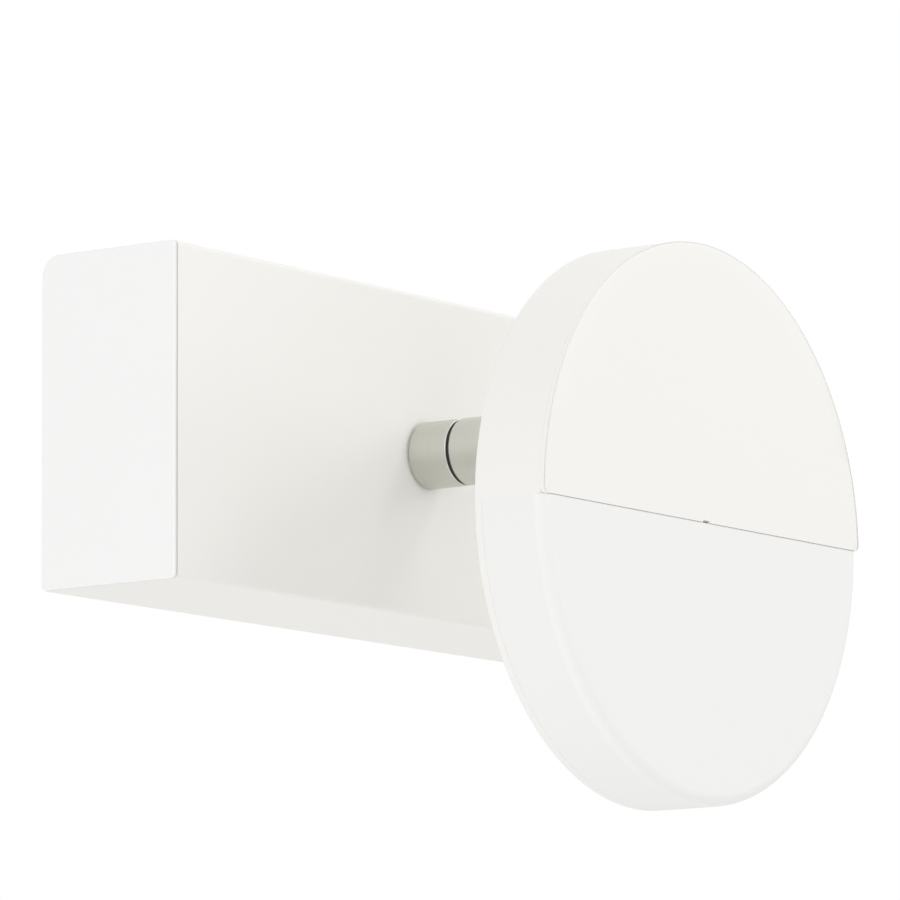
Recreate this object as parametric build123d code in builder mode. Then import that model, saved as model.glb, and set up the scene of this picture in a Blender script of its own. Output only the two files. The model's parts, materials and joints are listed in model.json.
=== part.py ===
from build123d import *
import os
from math import asin, cos, degrees, radians, sin

# Pivoting spotlight wall light: a long box on the wall, a short swivel tube and a round head.
# Millimetres. The wall is the plane Y = 0, the light stands out of it towards -Y, +Z is up, and
# the origin is the centre of the wall face, on the swivel tube's axis.
# A "projection" is a distance out of the wall: a point at projection p has Y = -p.

# ---------------------------------------------------------------- driving dimensions
# Housing on the wall
housing_length = 200.0
housing_height = 80.0
housing_depth = 40.0
cover_wall = 2.0
cover_edge_radius = 1.2        # long front edges
upper_corner_radius = 5.0      # upper corners that meet the wall
lower_corner_radius = 1.2      # lower corners that meet the wall
cap_flange = 1.0               # part of an end cap that shows
cap_edge_radius = 0.4
cap_plug_depth = 8.0
cap_plug_wall = 1.8
plug_clearance = 0.15
fit_gap = 0.1                  # still piece in its hole, all round
seat_gap = 0.3                 # bracket to cover

# Wall bracket: a tray of bent sheet
bracket_sheet = 1.5
bracket_flange = 14.0
bracket_bend = 2.5
bracket_end_gap = 1.0
wall_slot_inset = 10.0         # from the bracket's end
wall_slot_length = 12.0
wall_slot_width = 5.0
snap_bead_radius = 0.9
snap_bead_inset = 3.0

# Cable entry, terminals and driver inside the housing
entry_offset = 28.0            # from the terminals, towards the middle
entry_bore_radius = 4.5
grommet_wall = 2.0
grommet_lip = 2.5
terminal_inset = 34.0          # from the bracket's end
terminal_z = -4.0
terminal_pitch = 8.0
terminal_height = 16.0
terminal_depth = 12.0
terminal_wire_height = 4.0     # wire holes above the bracket
wire_hole_radius = 1.3
terminal_well_radius = 1.9
terminal_well_depth = 3.0
terminal_screw_height = 2.2
earth_block_size = 8.0
earth_offset = 12.0            # from the terminals, towards the middle
earth_inset = 11.7             # from the bracket's lower edge
driver_gap = 16.0              # from the tube's axis
driver_length = 52.0
driver_height = 44.0
driver_depth = 18.0
driver_edge_radius = 1.5
driver_ear_length = 6.5
driver_ear_width = 14.0
driver_ear_thickness = 2.0
driver_output_height = 9.0     # output lead above the bracket
wire_radius = 0.8
wire_bend = 8.0                # five times a wire's diameter
wire_lead_out = 1.0            # straight part beyond the terminal block
wire_spacing = 4.0

# Screws
m3_radius = 1.45
m3_head_radius = 2.75
m3_head_height = 1.6
m4_radius = 2.0
m4_head_radius = 3.5
m4_head_height = 1.8
m4_nut_flats = 7.0
m4_nut_height = 1.8
screw_gap = 0.05               # shank in its hole
drive_slot_width = 0.7
cover_screw_inset = 20.0       # from the bracket's end

# Swivel tube
tube_radius = 8.25
tube_chamfer = 0.25
sleeve_length = 11.6
friction_washer_height = 0.8
friction_washer_inset = 0.5
spigot_radius = 7.0
shaft_radius = 4.5
running_gap = 0.05
lead_bore_radius = 2.5
sleeve_washer_height = 1.2
sleeve_washer_width = 3.0
sleeve_nut_height = 5.0
sleeve_nut_flats = 19.0
spigot_end = 1.5
swivel_limit = 170.0
stop_margin = 2.0              # degrees left at the limit, for the check of the stop's clearance
stop_washer_height = 1.0
stop_clearance = 0.1
stop_ring_width = 0.9
stop_ring_gap = 0.3
wave_washer_height = 1.0
wave_washer_width = 1.6
clip_height = 0.8
clip_width = 1.8
clip_groove_depth = 0.6
clip_mouth = 5.0
shaft_land = 1.0

# Hinge at the end of the tube
hinge_reach = 46.0             # from the housing's front face to the hinge pin
fork_end_radius = 9.0
tongue_thickness = 6.4
tongue_radius = 7.5
tongue_gap = 0.8
hinge_washer_height = 0.5
hinge_washer_radius = 6.0
hinge_head_recess = 2.6
bracket_flange_radius = 14.0
bracket_flange_height = 2.5
bracket_screw_circle = 10.5
lead_channel_width = 2.8
lead_channel_z = 4.9
lead_hole_radius = 1.8

# Round head
fork_to_flange = 5.0           # room for the fork's end behind the head
head_radius = 67.3
head_drop = 23.4               # head's centre below the tube's axis
shell_depth = 18.4
shell_back = 2.0
shell_wall = 1.8
shell_back_radius = 0.3
plate_thickness = 1.2
plate_corner_radius = 1.5
plate_seam_gap = 0.15          # from the plate to the diffuser
notch_width = 3.2
notch_depth = 0.7
peg_inset = 9.3                # from the head's outline to a peg's axis
peg_start = 20.0               # degrees above the seam
peg_radius = 1.5
peg_boss_radius = 3.5
peg_boss_drop = 3.0            # boss ends this far below the plate
peg_engagement = 5.0
diffuser_wall = 1.8
diffuser_edge_radius = 3.0
diffuser_step = 0.15           # its face lies this far below the plate's
diffuser_boss_radius = 3.0
diffuser_boss_inset = 7.3      # from the head's outline to a boss's axis
diffuser_boss_start = 20.0     # degrees below the seam
diffuser_screw_bite = 8.0
carrier_thickness = 2.0
carrier_rim_gap = 1.0
carrier_seam_gap = 0.5
board_boss_gap = 3.0
board_thickness = 1.2
board_inset = 6.0
board_corner_radius = 3.0
board_screw_margin = 14.0      # from the board's round edge
board_screw_drop = 12.0        # below the seam
connector_width = 8.0
connector_height = 6.0
connector_depth = 4.5
connector_inset = 7.0
chip_length = 3.5
chip_width = 2.8
chip_height = 0.7
chip_ring_count = 3
chip_ring_step = 12.0
chip_edge_margin = 6.0
chip_pitch = 13.0
chip_margin = 25.0             # degrees between the seam and the first chip

# ---------------------------------------------------------------- places worked out from them
half_length = housing_length / 2
half_height = housing_height / 2
cover_inner_z = half_height - cover_wall
cover_inner = housing_depth - cover_wall
cover_half_length = half_length - cap_flange
bracket_half_height = cover_inner_z - seat_gap
bracket_half_length = cover_half_length - cap_plug_depth - bracket_end_gap
bead_projection = bracket_flange - snap_bead_inset
cover_screw_projection = bracket_flange / 2
wall_slot_spacing = 2 * (bracket_half_length - wall_slot_inset)
cover_screw_spacing = 2 * (bracket_half_length - cover_screw_inset)
terminal_x = bracket_half_length - terminal_inset
entry_x = terminal_x - entry_offset
earth_x = terminal_x - earth_offset
earth_z = earth_inset - bracket_half_height
driver_x = -(driver_gap + driver_length / 2)
live_wire_z = terminal_z + terminal_height / 2 + wire_lead_out + wire_bend
m3_hole = m3_radius + screw_gap
wire_projection = bracket_sheet + terminal_wire_height

washer_projection = cover_inner - sleeve_washer_height
nut_projection = washer_projection - sleeve_nut_height
spigot_projection = nut_projection - spigot_end
sleeve_bore = shaft_radius + running_gap
sleeve_front = housing_depth + sleeve_length
barrel_back = sleeve_front + friction_washer_height
stop_washer_back = spigot_projection - stop_washer_height
wave_washer_back = stop_washer_back - wave_washer_height
clip_back = wave_washer_back - clip_height
shaft_back = clip_back - shaft_land
stop_ring_radius = shaft_radius + stop_ring_width
stop_tooth_inner = stop_ring_radius + stop_ring_gap
stop_height = stop_washer_height - stop_clearance
stop_width = stop_tooth_inner * sin(radians(180 - swivel_limit - stop_margin))

hinge_projection = housing_depth + hinge_reach
fork_slot = tongue_thickness + 2 * hinge_washer_height
slot_bottom = hinge_projection - tongue_radius - tongue_gap
fork_tip = hinge_projection + fork_end_radius
hinge_seat = tube_radius - hinge_head_recess

head_z = -head_drop
head_back = fork_tip + fork_to_flange + bracket_flange_height
head_floor = head_back + shell_back
head_front = head_back + shell_depth
diffuser_front = head_front + plate_thickness - diffuser_step
carrier_front = head_floor + carrier_thickness
board_front = carrier_front + board_thickness
connector_z = head_z - connector_inset - connector_height / 2
head_lead_projection = board_front + connector_depth / 2
bracket_flange_back = head_back - bracket_flange_height
peg_circle = head_radius - peg_inset
diffuser_boss_circle = head_radius - diffuser_boss_inset
board_radius = diffuser_boss_circle - diffuser_boss_radius - board_boss_gap
board_screw_x = board_radius - board_screw_margin

STANDING = (Align.CENTER, Align.CENTER, Align.MIN)
HANGING = (Align.CENTER, Align.CENTER, Align.MAX)
UPPER = 0.0                    # start angle of the head's upper half
LOWER = 180.0                  # and of its lower half


# ---------------------------------------------------------------- shared shapes
def facing_out(projection):
    """Plane parallel to the wall that faces the room: its x is +X and its y is +Z."""
    return Plane.XZ.offset(projection)


def facing_wall(projection):
    """Plane parallel to the wall that faces the wall: its x is -X and its y is +Z."""
    return Plane(origin=(0, -projection, 0), x_dir=(-1, 0, 0), z_dir=(0, 1, 0))


def half_disc(radius, inset, half):
    """Upper or lower half of a disc on the head's axis, cut off inset beyond the seam."""
    lean = degrees(asin(inset / radius))
    with BuildSketch() as piece:
        with BuildLine():
            arc = CenterArc((0, head_z), radius, half + lean, 180 - 2 * lean)
            Line(arc @ 1, arc @ 0)
        make_face()
    return piece.sketch


def make_screw(radius, length, head_radius, head_height):
    """Slotted screw: the head stands on the plane Z = 0 and the shank hangs below it."""
    with BuildPart() as screw:
        Cylinder(head_radius, head_height, align=STANDING)
        Cylinder(radius, length, align=HANGING)
        with Locations((0, 0, head_height)):
            Box(2 * head_radius, drive_slot_width, head_height, mode=Mode.SUBTRACT)
    return screw.part


def make_countersink(radius, head_radius, head_height):
    """Cone of a countersunk head, below the plane Z = 0."""
    with BuildPart() as sink:
        Cone(radius, head_radius, head_height, align=HANGING)
    return sink.part


def make_flush_screw(radius, length, head_radius, head_height):
    """Slotted countersunk screw: its head's face is just below Z = 0, its shank hangs."""
    with BuildPart() as screw:
        Cylinder(radius, length, align=HANGING)
        add(make_countersink(radius, head_radius, head_height))
        Box(2 * head_radius, drive_slot_width, head_height, mode=Mode.SUBTRACT)
        Box(2 * head_radius, 2 * head_radius, 2 * screw_gap, mode=Mode.SUBTRACT)
    return screw.part


def make_wire(points):
    """Round insulated wire through the points, with an arc of one radius at every corner."""
    with BuildPart() as wire:
        with BuildLine() as route:
            FilletPolyline(*points, radius=wire_bend)
        with BuildSketch(Plane(origin=route.line @ 0, z_dir=route.line % 0)):
            Circle(wire_radius)
        sweep(path=route.line)
    return wire.part


def make_ring(projection, height, inner_radius, outer_radius):
    """Flat ring about the tube's axis, from the projection towards the room."""
    with BuildPart() as ring:
        with BuildSketch(facing_out(projection)):
            Circle(outer_radius)
            Circle(inner_radius, mode=Mode.SUBTRACT)
        extrude(amount=height)
    return ring.part


os.makedirs("parts", exist_ok=True)

# ---------------------------------------------------------------- wall bracket
driver_ear_x = (driver_length + driver_ear_length) / 2
driver_ear_z = (driver_height - driver_ear_width) / 2
driver_ears = [(driver_x - driver_ear_x, driver_ear_z), (driver_x + driver_ear_x, -driver_ear_z)]

with BuildPart() as wall_bracket:
    with BuildSketch(Plane.YZ) as section:
        with Locations((-bracket_flange / 2, 0)):
            Rectangle(bracket_flange, 2 * bracket_half_height)
        fillet(section.vertices().group_by(Axis.X)[-1], bracket_bend)
        with Locations((-(bracket_flange + bracket_sheet) / 2, 0)):
            Rectangle(bracket_flange - bracket_sheet, 2 * (bracket_half_height - bracket_sheet),
                      mode=Mode.SUBTRACT)
        with Locations((-bead_projection, -bracket_half_height)):
            Circle(snap_bead_radius)
    extrude(amount=bracket_half_length, both=True)
    with BuildSketch(facing_out(0)):
        with GridLocations(wall_slot_spacing, 0, 2, 1):
            SlotOverall(wall_slot_length, wall_slot_width)
        with Locations((entry_x, 0)):
            Circle(entry_bore_radius + grommet_wall + fit_gap)
        with Locations(*driver_ears):
            Circle(m3_hole)
    extrude(amount=bracket_sheet, mode=Mode.SUBTRACT)
    with Locations((0, -cover_screw_projection, bracket_half_height)):
        with GridLocations(cover_screw_spacing, 0, 2, 1):
            Hole(m3_hole, depth=bracket_sheet)
wall_bracket.part.label = "wall_bracket"
export_step(wall_bracket.part, "parts/wall_bracket.step")

with BuildPart() as cable_grommet:
    with BuildSketch(facing_out(0)):
        with Locations((entry_x, 0)):
            Circle(entry_bore_radius + grommet_wall)
    extrude(amount=bracket_sheet)
    with BuildSketch(facing_out(bracket_sheet)):
        with Locations((entry_x, 0)):
            Circle(entry_bore_radius + grommet_wall + grommet_lip)
    extrude(amount=grommet_lip)
    fillet(cable_grommet.edges().group_by(Axis.Y)[0], grommet_lip / 3)
    with BuildSketch(facing_out(0)):
        with Locations((entry_x, 0)):
            Circle(entry_bore_radius)
    extrude(amount=bracket_sheet + grommet_lip, mode=Mode.SUBTRACT)
cable_grommet.part.label = "cable_grommet"
export_step(cable_grommet.part, "parts/cable_grommet.step")

# ---------------------------------------------------------------- housing cover and end caps
flush_sink = make_countersink(m3_hole, m3_head_radius + screw_gap, m3_head_height)

with BuildPart() as housing_cover:
    with BuildSketch(Plane.YZ) as section:
        with Locations((-housing_depth / 2, 0)):
            Rectangle(housing_depth, housing_height)
        fillet(section.vertices().group_by(Axis.X)[0], cover_edge_radius)
        with Locations((-cover_inner / 2, 0)):
            Rectangle(cover_inner, 2 * cover_inner_z, mode=Mode.SUBTRACT)
    extrude(amount=cover_half_length, both=True)
    for level, radius in ((-1, upper_corner_radius), (0, lower_corner_radius)):
        wall_corners = housing_cover.edges().filter_by(Axis.Z).group_by(Axis.Y)[-1]
        fillet(wall_corners.group_by(Axis.Z)[level], radius)
    # groove that snaps over the bracket's bead
    with BuildSketch(Plane.YZ):
        with Locations((-bead_projection, -bracket_half_height)):
            Circle(snap_bead_radius + seat_gap)
    extrude(amount=half_length, both=True, mode=Mode.SUBTRACT)
    with BuildSketch(facing_out(cover_inner)):
        Circle(spigot_radius + fit_gap)
    extrude(amount=cover_wall, mode=Mode.SUBTRACT)
    with Locations((0, -cover_screw_projection, half_height)):
        with GridLocations(cover_screw_spacing, 0, 2, 1):
            Hole(m3_hole, depth=cover_wall)
            add(flush_sink, mode=Mode.SUBTRACT)
housing_cover.part.label = "housing_cover"
export_step(housing_cover.part, "parts/housing_cover.step")

cover_screw = make_flush_screw(m3_radius, cover_wall + seat_gap + bracket_sheet + m3_head_height,
                               m3_head_radius, m3_head_height)
with BuildPart(Plane.XY.offset(half_height)) as cover_screws:
    with Locations((0, -cover_screw_projection)):
        with GridLocations(cover_screw_spacing, 0, 2, 1):
            add(cover_screw)
cover_screws.part.label = "cover_screws"
export_step(cover_screws.part, "parts/cover_screws.step")

plug_depth = cover_inner - plug_clearance
plug_height = 2 * (cover_inner_z - plug_clearance)

with BuildPart() as end_cap_right:
    with BuildSketch(Plane.YZ.offset(cover_half_length)) as outline:
        with Locations((-housing_depth / 2, 0)):
            Rectangle(housing_depth, housing_height)
        fillet(outline.vertices().group_by(Axis.X)[0], cover_edge_radius)
        for level, radius in ((-1, upper_corner_radius), (0, lower_corner_radius)):
            fillet(outline.vertices().group_by(Axis.X)[-1].sort_by(Axis.Y)[level], radius)
    extrude(amount=cap_flange)
    fillet(end_cap_right.faces().sort_by(Axis.X)[-1].edges(), cap_edge_radius)
    # ring that plugs into the cover
    with BuildSketch(Plane.YZ.offset(cover_half_length)):
        with Locations((-plug_depth / 2, 0)):
            Rectangle(plug_depth, plug_height)
            Rectangle(plug_depth - 2 * cap_plug_wall, plug_height - 2 * cap_plug_wall,
                      mode=Mode.SUBTRACT)
    extrude(amount=-cap_plug_depth)
end_cap_right.part.label = "end_cap_right"
export_step(end_cap_right.part, "parts/end_cap_right.step")

with BuildPart() as end_cap_left:
    mirror(end_cap_right.part, about=Plane.YZ)
end_cap_left.part.label = "end_cap_left"
export_step(end_cap_left.part, "parts/end_cap_left.step")

# ---------------------------------------------------------------- terminals, driver and wires
terminal_top = bracket_sheet + terminal_depth

with BuildPart() as terminal_block:
    with BuildSketch(facing_out(bracket_sheet)):
        with Locations((terminal_x, terminal_z)):
            Rectangle(3 * terminal_pitch, terminal_height)
    extrude(amount=terminal_depth)
    with Locations((terminal_x, -wire_projection, terminal_z)):
        with GridLocations(terminal_pitch, 0, 3, 1):
            Cylinder(wire_hole_radius, terminal_height, mode=Mode.SUBTRACT)
    with BuildSketch(facing_out(terminal_top)):
        with Locations((terminal_x, terminal_z)):
            with GridLocations(terminal_pitch, terminal_height / 2, 3, 2):
                Circle(terminal_well_radius)
    extrude(amount=-terminal_well_depth, mode=Mode.SUBTRACT)
terminal_block.part.label = "terminal_block"
export_step(terminal_block.part, "parts/terminal_block.step")

with BuildPart() as terminal_screws:
    with BuildSketch(facing_out(terminal_top - terminal_well_depth)):
        with Locations((terminal_x, terminal_z)):
            with GridLocations(terminal_pitch, terminal_height / 2, 3, 2):
                Circle(terminal_well_radius - fit_gap)
                Rectangle(2 * terminal_well_radius, drive_slot_width, mode=Mode.SUBTRACT)
    extrude(amount=terminal_screw_height)
    with BuildSketch(facing_out(terminal_top - terminal_well_depth)):
        with Locations((terminal_x, terminal_z)):
            with GridLocations(terminal_pitch, terminal_height / 2, 3, 2):
                Circle(terminal_well_radius - fit_gap)
    extrude(amount=terminal_screw_height / 2)
terminal_screws.part.label = "terminal_screws"
export_step(terminal_screws.part, "parts/terminal_screws.step")

with BuildPart() as earth_block:
    with BuildSketch(facing_out(bracket_sheet)):
        with Locations((earth_x, earth_z)):
            Rectangle(earth_block_size, earth_block_size)
            Circle(m3_hole, mode=Mode.SUBTRACT)
    extrude(amount=earth_block_size)
    with BuildSketch(Plane.YZ.offset(earth_x)):
        with Locations((-wire_projection, earth_z)):
            Circle(wire_hole_radius)
    extrude(amount=earth_block_size, mode=Mode.SUBTRACT)
earth_block.part.label = "earth_block"
export_step(earth_block.part, "parts/earth_block.step")

earth_clamp = make_screw(m3_radius, earth_block_size - terminal_wire_height - wire_radius,
                         m3_head_radius, m3_head_height)
with BuildPart(facing_out(bracket_sheet + earth_block_size)) as earth_screw:
    with Locations((earth_x, earth_z)):
        add(earth_clamp)
earth_screw.part.label = "earth_screw"
export_step(earth_screw.part, "parts/earth_screw.step")

with BuildPart() as led_driver:
    with BuildSketch(facing_out(bracket_sheet)) as footprint:
        with Locations((driver_x, 0)):
            Rectangle(driver_length, driver_height)
        fillet(footprint.vertices(), driver_edge_radius)
    extrude(amount=driver_depth)
    fillet(led_driver.edges().group_by(Axis.Y)[0], driver_edge_radius)
    with BuildSketch(facing_out(bracket_sheet)):
        with Locations(*driver_ears):
            Rectangle(driver_ear_length, driver_ear_width)
            Circle(m3_hole, mode=Mode.SUBTRACT)
    extrude(amount=driver_ear_thickness)
led_driver.part.label = "led_driver"
export_step(led_driver.part, "parts/led_driver.step")

ear_screw = make_screw(m3_radius, bracket_sheet + driver_ear_thickness - fit_gap,
                       m3_head_radius, m3_head_height)
with BuildPart(facing_out(bracket_sheet + driver_ear_thickness)) as driver_screws:
    with Locations(*driver_ears):
        add(ear_screw)
driver_screws.part.label = "driver_screws"
export_step(driver_screws.part, "parts/driver_screws.step")

# The live and neutral wires leave the terminal block upwards and turn to the driver's end.
driver_right = driver_x + driver_length / 2
wire_depth = terminal_height / 4       # from the block's middle to a wire's end
for name, pole, step in (("live_wire", -1, 0), ("neutral_wire", 0, 1)):
    pole_x = terminal_x + pole * terminal_pitch
    run_z = live_wire_z + step * wire_spacing
    wire = make_wire([(pole_x, -wire_projection, terminal_z + wire_depth),
                      (pole_x, -wire_projection, run_z),
                      (driver_right, -wire_projection, run_z)])
    wire.label = name
    export_step(wire, f"parts/{name}.step")

earth_pole_x = terminal_x + terminal_pitch
earth_wire = make_wire([(earth_pole_x, -wire_projection, terminal_z - wire_depth),
                        (earth_pole_x, -wire_projection, earth_z),
                        (earth_x + wire_radius, -wire_projection, earth_z)])
earth_wire.label = "earth_wire"
export_step(earth_wire, "parts/earth_wire.step")

# Lead from the driver into the hollow shaft, as far as the fork
output_projection = bracket_sheet + driver_output_height
base_lead = make_wire([(driver_right, -output_projection, 0), (0, -output_projection, 0),
                       (0, -slot_bottom, 0)])
base_lead.label = "base_lead"
export_step(base_lead, "parts/base_lead.step")

# ---------------------------------------------------------------- fixed half of the swivel tube
tooth_height = spigot_radius - stop_tooth_inner

with BuildPart() as base_sleeve:
    with BuildSketch(Plane.XY):
        with BuildLine():
            Polyline((sleeve_bore, -spigot_projection), (spigot_radius, -spigot_projection),
                     (spigot_radius, -housing_depth), (tube_radius, -housing_depth),
                     (tube_radius, tube_chamfer - sleeve_front),
                     (tube_radius - tube_chamfer, -sleeve_front),
                     (sleeve_bore, -sleeve_front), close=True)
        make_face()
    revolve(axis=Axis.Y)
    # tooth that stops the turning
    with BuildSketch(facing_out(spigot_projection - stop_height)):
        with Locations((0, stop_tooth_inner + tooth_height / 2)):
            Rectangle(stop_width, tooth_height)
            Circle(spigot_radius, mode=Mode.INTERSECT)
    extrude(amount=stop_height)
base_sleeve.part.label = "base_sleeve"
export_step(base_sleeve.part, "parts/base_sleeve.step")

sleeve_washer = make_ring(washer_projection, sleeve_washer_height, spigot_radius + fit_gap,
                          spigot_radius + sleeve_washer_width)
sleeve_washer.label = "sleeve_washer"
export_step(sleeve_washer, "parts/sleeve_washer.step")

with BuildPart() as sleeve_nut:
    with BuildSketch(facing_out(nut_projection)):
        RegularPolygon(sleeve_nut_flats / 2, 6, major_radius=False)
        Circle(spigot_radius + screw_gap, mode=Mode.SUBTRACT)
    extrude(amount=sleeve_nut_height)
sleeve_nut.part.label = "sleeve_nut"
export_step(sleeve_nut.part, "parts/sleeve_nut.step")

friction_washer = make_ring(sleeve_front, friction_washer_height, shaft_radius + fit_gap,
                            tube_radius - friction_washer_inset)
friction_washer.label = "friction_washer"
export_step(friction_washer, "parts/friction_washer.step")

# ---------------------------------------------------------------- turning half of the tube
head_bore = m4_head_radius + seat_gap

with BuildPart() as swivel_barrel:
    with BuildSketch(facing_out(barrel_back)):
        Circle(tube_radius)
    extrude(amount=fork_tip - barrel_back)
    chamfer(swivel_barrel.edges().group_by(Axis.Y)[-1], tube_chamfer)
    # the fork's end is round about the hinge
    with BuildSketch(Plane.YZ):
        with Locations((-hinge_projection, 0)):
            Rectangle(2 * fork_end_radius, 4 * fork_end_radius, align=(Align.MAX, Align.CENTER))
            Circle(fork_end_radius, mode=Mode.SUBTRACT)
    extrude(amount=2 * tube_radius, both=True, mode=Mode.SUBTRACT)
    # slot for the tongue
    with BuildSketch(Plane.XY):
        with Locations((0, -slot_bottom)):
            Rectangle(fork_slot, 4 * fork_end_radius, align=(Align.CENTER, Align.MAX))
    extrude(amount=2 * tube_radius, both=True, mode=Mode.SUBTRACT)
    # shaft, its groove and the hole for the lead
    with BuildSketch(facing_out(shaft_back)):
        Circle(shaft_radius)
    extrude(amount=barrel_back - shaft_back)
    with BuildSketch(facing_out(clip_back)):
        Circle(2 * shaft_radius)
        Circle(shaft_radius - clip_groove_depth, mode=Mode.SUBTRACT)
    extrude(amount=clip_height, mode=Mode.SUBTRACT)
    with BuildSketch(facing_out(shaft_back)):
        Circle(lead_bore_radius)
    extrude(amount=slot_bottom - shaft_back, mode=Mode.SUBTRACT)
    # hinge hole, round recess for the screw's head and six-sided one for the nut
    with BuildSketch(Plane.YZ):
        with Locations((-hinge_projection, 0)):
            Circle(m4_radius + screw_gap)
    extrude(amount=2 * tube_radius, both=True, mode=Mode.SUBTRACT)
    with BuildSketch(Plane.YZ.offset(hinge_seat)):
        with Locations((-hinge_projection, 0)):
            Circle(head_bore)
    extrude(amount=tube_radius, mode=Mode.SUBTRACT)
    with BuildSketch(Plane.YZ.offset(-hinge_seat)):
        with Locations((-hinge_projection, 0)):
            RegularPolygon(m4_nut_flats / 2 + fit_gap, 6, major_radius=False)
    extrude(amount=-tube_radius, mode=Mode.SUBTRACT)
swivel_barrel.part.label = "swivel_barrel"
export_step(swivel_barrel.part, "parts/swivel_barrel.step")

tab_outer = spigot_radius - fit_gap

with BuildPart() as stop_washer:
    with BuildSketch(facing_out(stop_washer_back)):
        Circle(stop_ring_radius)
        with Locations((0, -tab_outer)):
            Rectangle(stop_width, tab_outer - shaft_radius, align=(Align.CENTER, Align.MIN))
        Circle(shaft_radius + screw_gap, mode=Mode.SUBTRACT)
    extrude(amount=stop_washer_height)
stop_washer.part.label = "stop_washer"
export_step(stop_washer.part, "parts/stop_washer.step")

wave_washer = make_ring(wave_washer_back, wave_washer_height, shaft_radius + screw_gap,
                        shaft_radius + wave_washer_width)
wave_washer.label = "wave_washer"
export_step(wave_washer, "parts/wave_washer.step")

with BuildPart() as retaining_clip:
    with BuildSketch(facing_out(clip_back)):
        Circle(shaft_radius + clip_width)
        Circle(shaft_radius - clip_groove_depth + screw_gap, mode=Mode.SUBTRACT)
        with Locations((0, -shaft_radius)):
            Rectangle(clip_mouth, 2 * shaft_radius, mode=Mode.SUBTRACT)
    extrude(amount=clip_height)
retaining_clip.part.label = "retaining_clip"
export_step(retaining_clip.part, "parts/retaining_clip.step")

hinge_bolt = make_screw(m4_radius, hinge_seat + hinge_seat + m4_nut_height - fit_gap,
                        m4_head_radius, m4_head_height)
with BuildPart(Plane.YZ.offset(hinge_seat)) as hinge_screw:
    with Locations((-hinge_projection, 0)):
        add(hinge_bolt)
hinge_screw.part.label = "hinge_screw"
export_step(hinge_screw.part, "parts/hinge_screw.step")

with BuildPart() as hinge_nut:
    with BuildSketch(Plane.YZ.offset(-hinge_seat)):
        with Locations((-hinge_projection, 0)):
            RegularPolygon(m4_nut_flats / 2, 6, major_radius=False)
            Circle(m4_radius + screw_gap, mode=Mode.SUBTRACT)
    extrude(amount=-m4_nut_height)
hinge_nut.part.label = "hinge_nut"
export_step(hinge_nut.part, "parts/hinge_nut.step")

with BuildPart() as hinge_washers:
    with BuildSketch(Plane.YZ.offset(tongue_thickness / 2)):
        with Locations((-hinge_projection, 0)):
            Circle(hinge_washer_radius)
            Circle(m4_radius + screw_gap, mode=Mode.SUBTRACT)
    extrude(amount=hinge_washer_height)
    mirror(about=Plane.YZ)
hinge_washers.part.label = "hinge_washers"
export_step(hinge_washers.part, "parts/hinge_washers.step")

# ---------------------------------------------------------------- hinge bracket on the head
with BuildPart() as hinge_bracket:
    with BuildSketch(Plane.YZ):
        with Locations((-hinge_projection, 0)):
            Circle(tongue_radius)
            Rectangle(bracket_flange_back - hinge_projection, 2 * tongue_radius,
                      align=(Align.MAX, Align.CENTER))
    extrude(amount=tongue_thickness / 2, both=True)
    with BuildSketch(facing_out(bracket_flange_back)):
        Circle(bracket_flange_radius)
    extrude(amount=bracket_flange_height)
    with BuildSketch(Plane.YZ):
        with Locations((-hinge_projection, 0)):
            Circle(m4_radius + screw_gap)
    extrude(amount=tongue_thickness, both=True, mode=Mode.SUBTRACT)
    # channel that takes the lead past the pin, and its hole in the flange
    with BuildSketch(facing_out(slot_bottom)):
        with Locations((0, lead_channel_z - lead_channel_width / 2)):
            Rectangle(lead_channel_width, tongue_radius, align=(Align.CENTER, Align.MIN))
    extrude(amount=bracket_flange_back - slot_bottom, mode=Mode.SUBTRACT)
    with BuildSketch(facing_out(bracket_flange_back)):
        with Locations((0, lead_channel_z)):
            Circle(lead_hole_radius)
        with PolarLocations(bracket_screw_circle, 4, start_angle=45):
            Circle(m3_hole)
    extrude(amount=bracket_flange_height, mode=Mode.SUBTRACT)
hinge_bracket.part.label = "hinge_bracket"
export_step(hinge_bracket.part, "parts/hinge_bracket.step")

flange_screw = make_screw(m3_radius, shell_back + bracket_flange_height - fit_gap,
                          m3_head_radius, m3_head_height)
with BuildPart(facing_out(head_floor)) as bracket_screws:
    with PolarLocations(bracket_screw_circle, 4, start_angle=45):
        add(flange_screw)
bracket_screws.part.label = "bracket_screws"
export_step(bracket_screws.part, "parts/bracket_screws.step")

# ---------------------------------------------------------------- head shell
peg_arc = 180 - 2 * peg_start
boss_arc = 180 - 2 * diffuser_boss_start

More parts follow.
